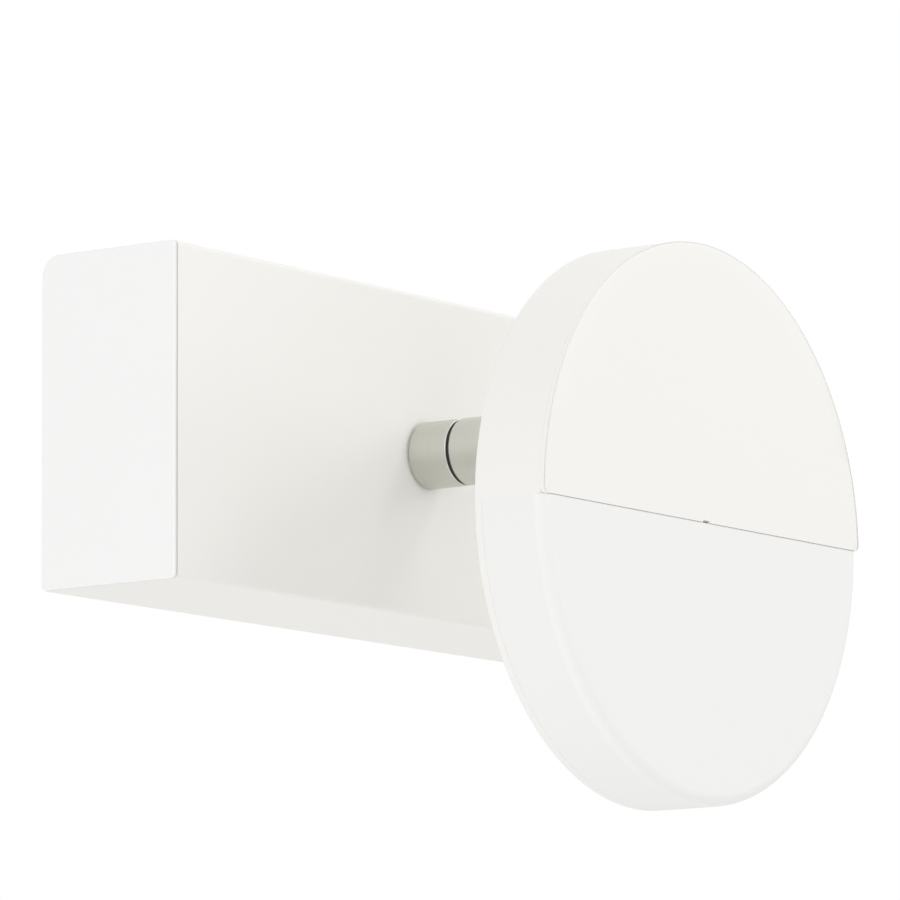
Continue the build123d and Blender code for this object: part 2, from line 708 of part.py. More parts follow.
with BuildPart() as head_shell:
    with BuildSketch(facing_out(head_back)):
        with Locations((0, head_z)):
            Circle(head_radius)
    extrude(amount=shell_back)
    fillet(head_shell.edges().group_by(Axis.Y)[-1], shell_back_radius)
    # rim of the upper half, and the wall along the seam
    with BuildSketch(facing_out(head_floor)):
        add(half_disc(head_radius, 0, UPPER))
        add(half_disc(head_radius - shell_wall, shell_wall, UPPER), mode=Mode.SUBTRACT)
    extrude(amount=head_front - head_floor)
    # bosses for the cover plate's pegs
    with BuildSketch(facing_out(head_floor)):
        with Locations((0, head_z)):
            with PolarLocations(peg_circle, 3, peg_start, peg_arc, endpoint=True):
                Circle(peg_boss_radius)
                Circle(peg_radius + screw_gap, mode=Mode.SUBTRACT)
    extrude(amount=head_front - head_floor - peg_boss_drop)
    # holes for the hinge bracket, the lead and the diffuser's screws
    with BuildSketch(facing_out(head_back)):
        with PolarLocations(bracket_screw_circle, 4, start_angle=45):
            Circle(m3_hole)
        with Locations((0, lead_channel_z)):
            Circle(lead_hole_radius)
        with Locations((0, head_z)):
            with PolarLocations(diffuser_boss_circle, 3, 180 + diffuser_boss_start, boss_arc,
                                endpoint=True):
                Circle(m3_hole)
    extrude(amount=shell_back, mode=Mode.SUBTRACT)
    with Locations(facing_wall(head_back)):
        with Locations((0, head_z)):
            with PolarLocations(diffuser_boss_circle, 3, 180 + diffuser_boss_start, boss_arc,
                                endpoint=True):
                add(flush_sink, mode=Mode.SUBTRACT)
    with Locations((0, -head_lead_projection, head_z + shell_wall)):
        Hole(lead_hole_radius, depth=shell_wall)
head_shell.part.label = "head_shell"
export_step(head_shell.part, "parts/head_shell.step")

# ---------------------------------------------------------------- cover plate, upper half
with BuildPart() as cover_plate:
    with BuildSketch(facing_out(head_front)) as outline:
        add(half_disc(head_radius, plate_seam_gap, UPPER))
        fillet(outline.vertices(), plate_corner_radius)
        with Locations((0, head_z)):
            Rectangle(notch_width, 2 * (plate_seam_gap + notch_depth), mode=Mode.SUBTRACT)
    extrude(amount=plate_thickness)
    with BuildSketch(facing_out(head_front)):
        with Locations((0, head_z)):
            with PolarLocations(peg_circle, 3, peg_start, peg_arc, endpoint=True):
                Circle(peg_radius)
    extrude(amount=-(peg_boss_drop + peg_engagement))
cover_plate.part.label = "cover_plate"
export_step(cover_plate.part, "parts/cover_plate.step")

# ---------------------------------------------------------------- diffuser, lower half
with BuildPart() as diffuser:
    with BuildSketch(facing_out(head_floor)):
        add(half_disc(head_radius, 0, LOWER))
    extrude(amount=diffuser_front - head_floor)
    fillet(diffuser.edges().filter_by(GeomType.CIRCLE).group_by(Axis.Y)[0], diffuser_edge_radius)
    with BuildSketch(facing_out(head_floor)):
        add(half_disc(head_radius - diffuser_wall, -diffuser_wall, LOWER))
    extrude(amount=diffuser_front - head_floor - diffuser_wall, mode=Mode.SUBTRACT)
    with BuildSketch(facing_out(carrier_front)):
        with Locations((0, head_z)):
            with PolarLocations(diffuser_boss_circle, 3, 180 + diffuser_boss_start, boss_arc,
                                endpoint=True):
                Circle(diffuser_boss_radius)
    extrude(amount=diffuser_front - carrier_front - diffuser_wall)
    with BuildSketch(facing_out(carrier_front)):
        with Locations((0, head_z)):
            with PolarLocations(diffuser_boss_circle, 3, 180 + diffuser_boss_start, boss_arc,
                                endpoint=True):
                Circle(m3_hole)
    extrude(amount=diffuser_screw_bite + fit_gap, mode=Mode.SUBTRACT)
diffuser.part.label = "diffuser"
export_step(diffuser.part, "parts/diffuser.step")

long_screw = make_flush_screw(m3_radius, shell_back + carrier_thickness + diffuser_screw_bite,
                              m3_head_radius, m3_head_height)
with BuildPart(facing_wall(head_back)) as diffuser_screws:
    with Locations((0, head_z)):
        with PolarLocations(diffuser_boss_circle, 3, 180 + diffuser_boss_start, boss_arc,
                            endpoint=True):
            add(long_screw)
diffuser_screws.part.label = "diffuser_screws"
export_step(diffuser_screws.part, "parts/diffuser_screws.step")

# ---------------------------------------------------------------- LED carrier and board
carrier_radius = head_radius - diffuser_wall - carrier_rim_gap

with BuildPart() as carrier_plate:
    with BuildSketch(facing_out(head_floor)):
        add(half_disc(carrier_radius, carrier_seam_gap, LOWER))
        with Locations((0, head_z)):
            with PolarLocations(diffuser_boss_circle, 3, 180 + diffuser_boss_start, boss_arc,
                                endpoint=True):
                Circle(m3_hole, mode=Mode.SUBTRACT)
        with Locations((0, head_z - board_screw_drop)):
            with GridLocations(2 * board_screw_x, 0, 2, 1):
                Circle(m3_hole, mode=Mode.SUBTRACT)
    extrude(amount=carrier_thickness)
carrier_plate.part.label = "carrier_plate"
export_step(carrier_plate.part, "parts/carrier_plate.step")

with BuildPart() as led_board:
    with BuildSketch(facing_out(carrier_front)) as outline:
        add(half_disc(board_radius, board_inset, LOWER))
        fillet(outline.vertices(), board_corner_radius)
        with Locations((0, head_z - board_screw_drop)):
            with GridLocations(2 * board_screw_x, 0, 2, 1):
                Circle(m3_hole, mode=Mode.SUBTRACT)
    extrude(amount=board_thickness)
led_board.part.label = "led_board"
export_step(led_board.part, "parts/led_board.step")

board_screw = make_screw(m3_radius, board_thickness + carrier_thickness - fit_gap,
                         m3_head_radius, m3_head_height)
with BuildPart(facing_out(board_front)) as board_screws:
    with Locations((0, head_z - board_screw_drop)):
        with GridLocations(2 * board_screw_x, 0, 2, 1):
            add(board_screw)
board_screws.part.label = "board_screws"
export_step(board_screws.part, "parts/board_screws.step")

# chips on arcs about the head's centre, from the board's edge inwards
chip_arc = 180 - 2 * chip_margin

with BuildPart() as led_chips:
    with BuildSketch(facing_out(board_front)):
        with Locations((0, head_z)):
            for ring in range(chip_ring_count):
                ring_radius = board_radius - chip_edge_margin - ring * chip_ring_step
                chip_count = round(radians(chip_arc) * ring_radius / chip_pitch) + 1
                with PolarLocations(ring_radius, chip_count, 180 + chip_margin, chip_arc,
                                    endpoint=True):
                    Rectangle(chip_width, chip_length)
    extrude(amount=chip_height)
led_chips.part.label = "led_chips"
export_step(led_chips.part, "parts/led_chips.step")

with BuildPart() as led_connector:
    with BuildSketch(facing_out(board_front)):
        with Locations((0, connector_z)):
            Rectangle(connector_width, connector_height)
    extrude(amount=connector_depth)
led_connector.part.label = "led_connector"
export_step(led_connector.part, "parts/led_connector.step")

# Lead from the hinge through the back of the head to the LED board
head_lead = make_wire([(0, -hinge_projection, lead_channel_z),
                       (0, -head_lead_projection, lead_channel_z),
                       (0, -head_lead_projection, connector_z + connector_height / 2)])
head_lead.label = "head_lead"
export_step(head_lead, "parts/head_lead.step")
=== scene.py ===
"""Pivoting wall spotlight: a long white box on the wall, a short satin tube and a round flat head.

Everything is in metres. The wall is the plane Y = 0, the light stands out of it towards -Y, +Z is
up and the origin is the centre of the box's wall face. A "projection" is a distance out of the
wall, so a point at projection p has Y = -p. The CAD solids come from the frame; the pieces made
here are surfaces worked out as arrays, and each rides on one of the frame's bodies.
"""

import functools
import json
import math

import bmesh
import bpy
import numpy as np
from bpy.props import FloatProperty, FloatVectorProperty, IntProperty, PointerProperty
from mathutils import Matrix, Vector

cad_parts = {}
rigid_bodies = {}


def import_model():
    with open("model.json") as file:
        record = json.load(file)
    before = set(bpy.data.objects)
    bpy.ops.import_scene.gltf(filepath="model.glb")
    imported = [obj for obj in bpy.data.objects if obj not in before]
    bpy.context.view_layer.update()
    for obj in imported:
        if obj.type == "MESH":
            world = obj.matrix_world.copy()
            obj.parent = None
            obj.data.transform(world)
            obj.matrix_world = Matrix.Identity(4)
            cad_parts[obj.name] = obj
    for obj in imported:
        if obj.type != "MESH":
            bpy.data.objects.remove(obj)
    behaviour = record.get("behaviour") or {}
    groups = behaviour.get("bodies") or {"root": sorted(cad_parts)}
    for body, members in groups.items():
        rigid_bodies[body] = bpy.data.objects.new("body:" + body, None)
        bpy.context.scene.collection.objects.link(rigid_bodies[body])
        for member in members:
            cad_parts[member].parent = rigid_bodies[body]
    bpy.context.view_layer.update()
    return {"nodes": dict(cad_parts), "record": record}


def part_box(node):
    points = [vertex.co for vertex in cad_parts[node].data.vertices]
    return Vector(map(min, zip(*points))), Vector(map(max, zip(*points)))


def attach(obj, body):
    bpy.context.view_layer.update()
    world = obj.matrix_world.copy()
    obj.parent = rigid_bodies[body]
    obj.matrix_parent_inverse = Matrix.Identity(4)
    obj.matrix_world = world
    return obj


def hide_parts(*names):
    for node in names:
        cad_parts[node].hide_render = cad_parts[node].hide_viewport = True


for leftover in list(bpy.data.objects):
    bpy.data.objects.remove(leftover)

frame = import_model()
NODES = frame["nodes"]

bl_info = {
    "name": "Pivoting wall spotlight",
    "version": (1, 0, 0),
    "blender": (4, 5, 0),
    "location": "3D View > Sidebar > Wall spotlight",
    "description": "Builds the looks of a pivoting wall spotlight round its solids",
    "category": "Object",
}

MM = 0.001


# ---------------------------------------------------------------- sizes taken from the solids
def reach(node):
    """Lowest and highest projection of a node."""
    low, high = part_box(node)
    return -high[1], -low[1]


COVER_LOW, COVER_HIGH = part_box("housing_cover")
CAP_LOW, CAP_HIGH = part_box("end_cap_right")
SLEEVE_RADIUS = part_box("base_sleeve")[1][0]
HEAD_LOW, HEAD_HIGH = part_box("head_shell")
PLATE_FRONT = reach("cover_plate")[1]
HEAD_Z = (HEAD_LOW[2] + HEAD_HIGH[2]) / 2
HEAD_RADIUS = (HEAD_HIGH[0] - HEAD_LOW[0]) / 2


# ---------------------------------------------------------------- settings
def length(name, description, millimetres):
    """Property for a length, with its default in millimetres."""
    return FloatProperty(name=name, description=description, default=millimetres * MM,
                         min=0.0, unit="LENGTH", precision=5)


def share(name, description, default, top=1.0):
    """Property for a plain factor."""
    return FloatProperty(name=name, description=description, default=default, min=0.0, max=top)


def tint(name, description, default):
    """Property for a colour in linear light."""
    return FloatVectorProperty(name=name, description=description, default=default, size=3,
                               min=0.0, max=1.0, subtype="COLOR")


def angle(name, description, degrees):
    """Property for an angle, with its default in degrees."""
    return FloatProperty(name=name, description=description, default=math.radians(degrees),
                         subtype="ANGLE", unit="ROTATION")


class HousingSettings(bpy.types.PropertyGroup):
    """Sizes of the box on the wall."""

    wall: length("Wall", "Wall thickness of the cover", 2.0)
    edge_radius: length("Edge radius", "Rounding of the long front edges", 1.2)
    upper_corner: length("Upper corner", "Rounding of the upper corners at the wall", 5.0)
    lower_corner: length("Lower corner", "Rounding of the lower corners at the wall", 1.2)
    cap_edge: length("Cap edge", "Rounding of an end cap's outer edge", 0.4)
    cover_bevel: length("Cover bevel", "Bevel of the cover's ends along the cap seam", 0.12)
    seam_lip: length("Seam lip", "From the cap's outer face to the shadow gap", 0.9)
    seam_width: length("Seam width", "Width of the shadow gap between cap and cover", 0.5)
    seam_depth: length("Seam depth", "Depth of that gap", 0.7)
    plug_inset: length("Plug inset", "From the cap's outline to its plug", 2.15)
    plug_wall: length("Plug wall", "Wall thickness of the plug", 1.8)
    sink_radius: length("Countersink radius", "Mouth of a screw's countersink", 2.8)
    sink_depth: length("Countersink depth", "Depth of the countersink's cone", 1.6)


class TubeSettings(bpy.types.PropertyGroup):
    """Sizes of the swivel tube."""

    undercut_width: length("Undercut width", "Width of the groove at the tube's foot", 0.7)
    undercut_depth: length("Undercut depth", "Depth of that groove", 1.1)
    end_round: length("End rounding", "Rounding at the turning gap", 0.2)
    bore: length("Bore", "Radius of the sleeve's bore", 4.55)
    spigot: length("Spigot", "Radius of the sleeve's part inside the box", 7.0)
    washer_bulge: length("Washer bulge", "How far the washer's edge is rounded", 0.2)


class HeadSettings(bpy.types.PropertyGroup):
    """Sizes of the round head."""

    floor: length("Back thickness", "Thickness of the head's back", 2.0)
    wall: length("Rim wall", "Thickness of the rim", 1.8)
    back_round: length("Back rounding", "Rounding of the back edge", 0.3)
    rim_break: length("Rim edge", "Broken edge of the rim under the plate", 0.1)
    plate_corner: length("Plate corner", "Rounding of the plate's two corners", 1.5)
    plate_edge: length("Plate edge", "Rounding of the plate's front edge", 0.08)
    seam_gap: length("Seam gap", "From the plate's straight edge to the diffuser", 0.035)
    groove_inset: length("Groove inset", "From the plate's outline to its sharp groove", 0.3)
    groove_width: length("Groove width", "Width of the sharp groove", 0.55)
    groove_depth: length("Groove depth", "Depth of the sharp groove at the seam", 1.0)
    groove_fade: share("Groove fade", "Share of that depth lost at the top", 0.95)
    notch_width: length("Notch width", "Width of the notch in the plate's straight edge", 2.4)
    notch_depth: length("Notch depth", "Depth of that notch", 0.45)
    opal_edge: length("Diffuser edge", "Rounding of the diffuser's front edge", 3.0)
    sink_radius: length("Countersink radius", "Mouth of a diffuser screw's countersink", 2.8)
    sink_depth: length("Countersink depth", "Depth of the countersink's cone", 1.6)
    facets: IntProperty(name="Facets", description="Steps round half of the head", default=160,
                        min=24, max=600)


class FinishSettings(bpy.types.PropertyGroup):
    """Colours of the finishes, in linear light."""

    paint: tint("Paint", "White powder coat", (0.885, 0.875, 0.845))
    cap: tint("End caps", "Moulded white plastic", (0.905, 0.905, 0.9))
    opal: tint("Diffuser", "Opal plastic", (0.868, 0.868, 0.853))
    nickel: tint("Nickel", "Satin nickel of the tube", (0.645, 0.645, 0.595))
    zinc: tint("Zinc", "Zinc plate of sheet and screws", (0.6, 0.61, 0.62))
    peel: share("Peel", "Strength of the paint's fine texture", 0.12)


class StudioSettings(bpy.types.PropertyGroup):
    """Camera and lights."""

    azimuth: angle("Azimuth", "Camera's direction round the light", -54.222)
    elevation: angle("Elevation", "Camera's height angle", -8.317)
    roll: angle("Roll", "Camera's turn about its own axis", -0.306)
    distance: length("Distance", "Camera's distance from the origin along its axis", 1707.11)
    offset_right: length("Offset right", "Camera's offset to its right", 38.204)
    offset_up: length("Offset up", "Camera's offset upwards", 5.085)
    lens: FloatProperty(name="Lens", description="Focal length in millimetres", default=274.884,
                        min=10.0, max=1000.0, unit="CAMERA")
    surround: share("Surround", "Light from all round", 0.772, 4.0)
    high_key: share("High key", "Light from the front right, high up", 0.118, 4.0)
    side_key: share("Side key", "Light from the right", 0.077, 4.0)
    front_key: share("Front key", "Light from the front, above", 0.054, 4.0)
    left: share("Left", "Light from the left", 0.191, 4.0)
    high_left: share("High left", "Light from the front left, above", 0.049, 4.0)
    under: share("Under", "Light from below", 0.169, 4.0)
    floor_drop: FloatProperty(name="Floor", description="Height of the floor", default=-1.5,
                              unit="LENGTH")


class SpotlightSettings(bpy.types.PropertyGroup):
    """All settings of the spotlight."""

    housing: PointerProperty(type=HousingSettings)
    tube: PointerProperty(type=TubeSettings)
    head: PointerProperty(type=HeadSettings)
    finish: PointerProperty(type=FinishSettings)
    studio: PointerProperty(type=StudioSettings)


# ---------------------------------------------------------------- shader expressions
class Wire:
    """A socket of a shader. Arithmetic on it adds the Math nodes that work it out."""

    def __init__(self, shader, socket):
        self.shader = shader
        self.socket = socket

    def math(self, operation, first, second=0.0):
        return self.shader.node("ShaderNodeMath", {"operation": operation}, {0: first, 1: second})

    def __add__(self, other):
        return self.math("ADD", self, other)

    def __sub__(self, other):
        return self.math("SUBTRACT", self, other)

    def __rsub__(self, other):
        return self.math("SUBTRACT", other, self)

    def __mul__(self, other):
        return self.math("MULTIPLY", self, other)

    def __truediv__(self, other):
        return self.math("DIVIDE", self, other)

    def __gt__(self, other):
        return self.math("GREATER_THAN", self, other)

    def __abs__(self):
        return self.math("ABSOLUTE", self)

    __radd__ = __add__
    __rmul__ = __mul__


class Shader:
    """A material's node tree, built from expressions."""

    def __init__(self, tree):
        self.tree = tree
        tree.nodes.clear()

    def node(self, kind, settings=None, sockets=None, output=0):
        """Adds a node: its settings first, then the values or links of its sockets."""
        made = self.tree.nodes.new(kind)
        for key, value in (settings or {}).items():
            setattr(made, key, value)
        for key, value in (sockets or {}).items():
            if isinstance(value, Wire):
                self.tree.links.new(value.socket, made.inputs[key])
            else:
                made.inputs[key].default_value = value
        return Wire(self, made.outputs[output]) if made.outputs else made

    def place(self):
        """Object coordinates, which are the frame's own."""
        return self.node("ShaderNodeTexCoord", output="Object")

    def noise(self, waves, detail=2.0, rough=0.5):
        """Noise from 0 to 1, with waves per metre alike on all axes or one number for each."""
        scales = waves if isinstance(waves, tuple) else (waves,) * 3
        stretched = self.node("ShaderNodeVectorMath", {"operation": "MULTIPLY"},
                              {0: self.place(), 1: scales})
        return self.node("ShaderNodeTexNoise", None,
                         {"Vector": stretched, "Scale": 1.0, "Detail": detail,
                          "Roughness": rough})

    def part_of(self, vector, axis):
        """One part of a vector."""
        return self.node("ShaderNodeSeparateXYZ", None, {0: vector}, axis)

    def blend(self, factor, first, second):
        """Colour between first and second."""
        return self.node("ShaderNodeMix", {"data_type": "RGBA"},
                         {"Factor": factor, "A": opaque(first), "B": opaque(second)}, "Result")

    def bump(self, height, distance, strength=1.0):
        """Normal of a surface that is raised by height times distance."""
        return self.node("ShaderNodeBump", None,
                         {"Height": height, "Distance": distance, "Strength": strength})


def opaque(colour):
    """A colour with full alpha, or a link as it is."""
    return colour if isinstance(colour, Wire) else (*colour[:3], 1.0)


def shaded(colour, factor):
    """A colour times a number."""
    return tuple(min(1.0, part * factor) for part in colour[:3])


def finish(build):
    """Turns a function that gives a Principled shader's sockets into one that makes materials."""

    @functools.wraps(build)
    def make(name, *values, **named):
        material = bpy.data.materials.new(name)
        material.use_nodes = True
        shader = Shader(material.node_tree)
        surface = shader.node("ShaderNodeBsdfPrincipled", None, build(shader, *values, **named))
        shader.node("ShaderNodeOutputMaterial", None, {"Surface": surface})
        return material

    return make


# ---------------------------------------------------------------- finishes
@finish
def powder_coat(shader, colour, peel):
    """Baked paint: a slow drift of tone and a fine pebbled skin."""
    drift = shader.noise(9.0, 1.0)
    grain = shader.noise(1500.0, 2.0, 0.6)
    return {"Base Color": shader.blend(drift, shaded(colour, 0.992), shaded(colour, 1.006)),
            "Roughness": grain * 0.1 + 0.43,
            "Normal": shader.bump(grain, 0.00006, peel),
            "IOR": 1.46}


@finish
def moulded_plastic(shader, colour, roughness=0.38, grain_size=900.0, relief=0.00002, lip=None):
    """Injection-moulded plastic with a fine spark-eroded grain.

    A lip of (X of the outer edge, X of the seam) gets painted shade: its colour turns smoothly
    darker from one to the other, on both ends, in place of the shade along the seam.
    """
    grain = shader.noise(grain_size, 3.0)
    flow = shader.noise((14.0, 14.0, 40.0), 1.0)
    tone = shader.blend(flow, shaded(colour, 0.99), shaded(colour, 1.004))
    if lip:
        along = abs(shader.part_of(shader.place(), "X"))
        near = shader.node("ShaderNodeMapRange", {"interpolation_type": "SMOOTHSTEP"},
                           {"Value": along, "From Min": lip[0], "From Max": lip[1]})
        # painted shade: the colour darkens towards the end caps' seam
        tone = shader.blend(near, tone, shaded(colour, 0.84))
    return {"Base Color": tone,
            "Roughness": grain * 0.12 + (roughness - 0.06),
            "Normal": shader.bump(grain, relief, 0.3),
            "IOR": 1.49}


@finish
def opal_plastic(shader, colour):
    """Light-diffusing plastic: a faint cloudiness of tone under a soft sheen."""
    cloud = shader.noise(11.0, 2.0)
    grain = shader.noise(1300.0, 1.0)
    return {"Base Color": shader.blend(cloud, shaded(colour, 0.995), shaded(colour, 1.003)),
            "Roughness": grain * 0.06 + 0.46,
            "Normal": shader.bump(grain, 0.00001, 0.25),
            "IOR": 1.49}


@finish
def turned_metal(shader, colour, roughness=0.36):
    """Satin plate over turned metal: fine rings round the tube's axis, which lies along Y."""
    rings = shader.noise((60.0, 9000.0, 60.0), 3.0, 0.7)
    bands = shader.noise((12.0, 500.0, 12.0), 2.0)
    return {"Base Color": shader.blend(bands, shaded(colour, 0.97), shaded(colour, 1.03)),
            "Metallic": 1.0,
            "Roughness": rings * 0.12 + (roughness - 0.06),
            "Normal": shader.bump(rings, 0.000012, 0.35)}


@finish
def rolled_sheet(shader, colour, spangle=0.12):
    """Zinc-plated or rolled sheet: crystals of slightly different tone and long rolling lines."""
    crystals = shader.node("ShaderNodeTexVoronoi", {"feature": "F1"},
                           {"Vector": shader.place(), "Scale": 260.0}, "Color")
    tone = shader.node("ShaderNodeSeparateColor", None, {0: crystals})
    lines = shader.noise((6.0, 2500.0, 2500.0), 2.0, 0.6)
    cast = tone * spangle + lines * 0.1
    return {"Base Color": shader.blend(cast, colour, shaded(colour, 0.6)),
            "Metallic": 1.0,
            "Roughness": tone * 0.1 + lines * 0.12 + 0.3,
            "Normal": shader.bump(lines, 0.00001, 0.3)}


@finish
def plated_screw(shader, colour, roughness=0.34):
    """Small plated parts: a fine tumbled grain with duller patches."""
    grain = shader.noise(2600.0, 3.0, 0.6)
    patch = shader.noise(280.0, 2.0)
    return {"Base Color": shader.blend(patch, shaded(colour, 0.88), shaded(colour, 1.05)),
            "Metallic": 1.0,
            "Roughness": patch * 0.16 + grain * 0.08 + (roughness - 0.12),
            "Normal": shader.bump(grain, 0.00001, 0.3)}


@finish
def dull_polymer(shader, colour, roughness=0.62):
    """Rubber or nylon: matt, with a faint bloom and a sandy grain."""
    bloom = shader.noise(160.0, 3.0)
    grain = shader.noise(3200.0, 2.0)
    return {"Base Color": shader.blend(bloom, shaded(colour, 0.8), shaded(colour, 1.35)),
            "Roughness": grain * 0.14 + (roughness - 0.07),
            "Normal": shader.bump(grain, 0.00002, 0.35),
            "IOR": 1.5}


@finish
def wire_jacket(shader, colour):
    """Extruded insulation: soft gloss, with slight waves of tone along the wire."""
    waves = shader.noise(220.0, 2.0)
    grain = shader.noise(4200.0, 1.0)
    return {"Base Color": shader.blend(waves, shaded(colour, 0.9), shaded(colour, 1.08)),
            "Roughness": waves * 0.12 + 0.34,
            "Normal": shader.bump(grain, 0.00001, 0.25),
            "IOR": 1.52}


@finish
def printed_board(shader, colour):
    """White solder mask over copper: tracks run across, a little raised and a little darker."""
    height = shader.part_of(shader.place(), "Z")
    track = height.math("PINGPONG", height, 3 * MM) > 1.8 * MM
    weave = shader.noise(1800.0, 1.0)
    return {"Base Color": shader.blend(track * 0.35, colour, shaded(colour, 0.86)),
            "Roughness": weave * 0.08 + 0.3,
            "Normal": shader.bump(track + weave * 0.2, 0.00003, 0.6),
            "IOR": 1.52}


@finish
def phosphor(shader, glow, body):
    """LED chip: a yellow window in front, in a white body."""
    facing = shader.part_of(shader.node("ShaderNodeTexCoord", output="Normal"), "Y")
    window = facing * -1.0 > 0.7
    grain = shader.noise(2400.0, 2.0)
    return {"Base Color": shader.blend(window, body, glow),
            "Roughness": grain * 0.2 + 0.35,
            "Normal": shader.bump(grain, 0.00002, 0.3)}


FINISHES = {}


def prepare_finishes(settings):
    """Makes every finish once, under the record's slot names."""
    look = settings.finish
    FINISHES.update(
        white_paint=powder_coat("white_powder_coat", look.paint, look.peel),
        # end caps: painted shade darkens their lip towards the seam
        white_cap=moulded_plastic("white_end_cap", look.cap, lip=(
            CAP_HIGH[0], CAP_HIGH[0] - settings.housing.seam_lip)),
        white_screw=powder_coat("painted_screw", shaded(look.paint, 0.97), look.peel * 0.5),
        opal_plastic=opal_plastic("opal_diffuser", look.opal),
        satin_nickel=turned_metal("satin_nickel_tube", look.nickel),
        zinc_steel=rolled_sheet("zinc_sheet", look.zinc),
        screw_steel=plated_screw("zinc_screw", look.zinc),
        aluminium=rolled_sheet("rolled_aluminium", (0.78, 0.79, 0.8), 0.03),
        brass=plated_screw("brass_block", (0.78, 0.58, 0.26), 0.28),
        black_nylon=dull_polymer("black_nylon_washer", (0.02, 0.02, 0.02), 0.5),
        rubber=dull_polymer("black_rubber", (0.03, 0.03, 0.03), 0.72),
        terminal_plastic=moulded_plastic("terminal_body", (0.8, 0.79, 0.74), 0.45),
        driver_plastic=moulded_plastic("driver_case", (0.72, 0.73, 0.74), 0.5, 500.0, 0.00006),
        connector_plastic=moulded_plastic("connector_body", (0.85, 0.82, 0.72), 0.4),
        board_white=printed_board("board_mask", (0.86, 0.86, 0.85)),
        led_yellow=phosphor("chip_window", (0.85, 0.62, 0.08), (0.85, 0.85, 0.82)),
        live_insulation=wire_jacket("brown_jacket", (0.16, 0.06, 0.03)),
        neutral_insulation=wire_jacket("blue_jacket", (0.03, 0.1, 0.42)),
        earth_insulation=wire_jacket("green_jacket", (0.12, 0.32, 0.04)),
        lead_insulation=wire_jacket("white_jacket", (0.78, 0.78, 0.76)),
    )


# ---------------------------------------------------------------- surfaces
CREASE = math.radians(32.0)
MERGE_DISTANCE = 2e-7
DEGENERATE_LENGTH = 1e-8
WHOLE_TURN = 360.0
CORNER_STEPS = 9
FACE_INSET = 6 * MM
FINE_KEEP = 0.01 * MM


def rounded(points, radii, steps=8, keep=0.03 * MM):
    """Open profile through the points with an arc at each inner one.

    An arc of radius r in a corner of inner angle a starts r / tan(a / 2) from the corner, and
    its points swing evenly about the centre, which lies r / sin(a / 2) along the bisector. One
    more point just before and after each arc keeps the flats flat.
    """
    points = np.asarray(points, float)
    made = [points[:1]]
    for before, corner, after, radius in zip(points, points[1:], points[2:], radii):
        if radius <= 0.0:
            made.append(corner[None])
            continue
        to_before = (before - corner) / np.linalg.norm(before - corner)
        to_after = (after - corner) / np.linalg.norm(after - corner)
        inner = math.acos(np.clip(to_before @ to_after, -1.0, 1.0))
        start = radius / math.tan(inner / 2)
        bisector = (to_before + to_after) / np.linalg.norm(to_before + to_after)
        centre = corner + bisector * radius / math.sin(inner / 2)
        turn = math.pi - inner
        swing = np.linspace(0.0, 1.0, steps + 1)[:, None]
        arms = (np.sin((1 - swing) * turn) * (corner + to_before * start - centre)
                + np.sin(swing * turn) * (corner + to_after * start - centre)) / math.sin(turn)
        made += [(corner + to_before * (start + keep))[None], centre + arms,
                 (corner + to_after * (start + keep))[None]]
    made.append(points[-1:])
    return np.concatenate(made)


def closed_profile(points, radii, steps=8):
    """Closed profile: the same, started half-way along its first side."""
    points = np.asarray(points, float)
    middle = (points[0] + points[1]) / 2
    loop = np.vstack([middle, points[1:], points[:1], middle])
    return rounded(loop, [*radii[1:], radii[0]], steps)[:-1]


def grid_faces(rows, columns, wrap_rows, wrap_columns, offset):
    """Corner numbers of the quads of a grid, as whole arrays."""
    row = np.arange(rows if wrap_rows else rows - 1)
    column = np.arange(columns if wrap_columns else columns - 1)
    row, column = (part.ravel() for part in np.meshgrid(row, column, indexing="ij"))
    next_row, next_column = (row + 1) % rows, (column + 1) % columns
    return offset + np.stack([row * columns + column, row * columns + next_column,
                              next_row * columns + next_column, next_row * columns + column], 1)


def closed_mesh(name, grids):
    """Mesh from grids of points, each (points, wrap_rows, wrap_columns, end_caps).

    Points that fall together are merged, so a row that shrinks to one point closes a pole. End
    caps close the first and last column of an open grid with one face each.
    """
    points, faces, offset = [], [], 0
    for grid, wrap_rows, wrap_columns, end_caps in grids:
        rows, columns = grid.shape[:2]
        points.append(grid.reshape(-1, 3))
        faces += grid_faces(rows, columns, wrap_rows, wrap_columns, offset).tolist()
        if end_caps:
            first = offset + np.arange(rows) * columns
            faces += [first.tolist(), (first + columns - 1)[::-1].tolist()]
        offset += rows * columns
    mesh = bpy.data.meshes.new(name)
    mesh.from_pydata(np.concatenate(points).tolist(), [], faces)
    shape = bmesh.new()
    shape.from_mesh(mesh)
    bmesh.ops.remove_doubles(shape, verts=shape.verts, dist=MERGE_DISTANCE)
    bmesh.ops.dissolve_degenerate(shape, edges=shape.edges, dist=DEGENERATE_LENGTH)
    bmesh.ops.recalc_face_normals(shape, faces=shape.faces)
    shape.to_mesh(mesh)
    shape.free()
    return mesh


def smooth(mesh):
    """Smooth shading, with edges steeper than CREASE kept sharp."""
    mesh.polygons.foreach_set("use_smooth", np.ones(len(mesh.polygons), bool))
    mesh.set_sharp_from_angle(angle=CREASE)


def add_piece(name, grids, body, slot, replaces):
    """Piece from grids of points, riding on a body in place of the solids it replaces."""
    mesh = closed_mesh(name, grids)
    smooth(mesh)
    mesh.materials.append(FINISHES[slot])
    piece = bpy.data.objects.new(name, mesh)
    bpy.context.scene.collection.objects.link(piece)
    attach(piece, body)
    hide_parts(*replaces)
    return piece


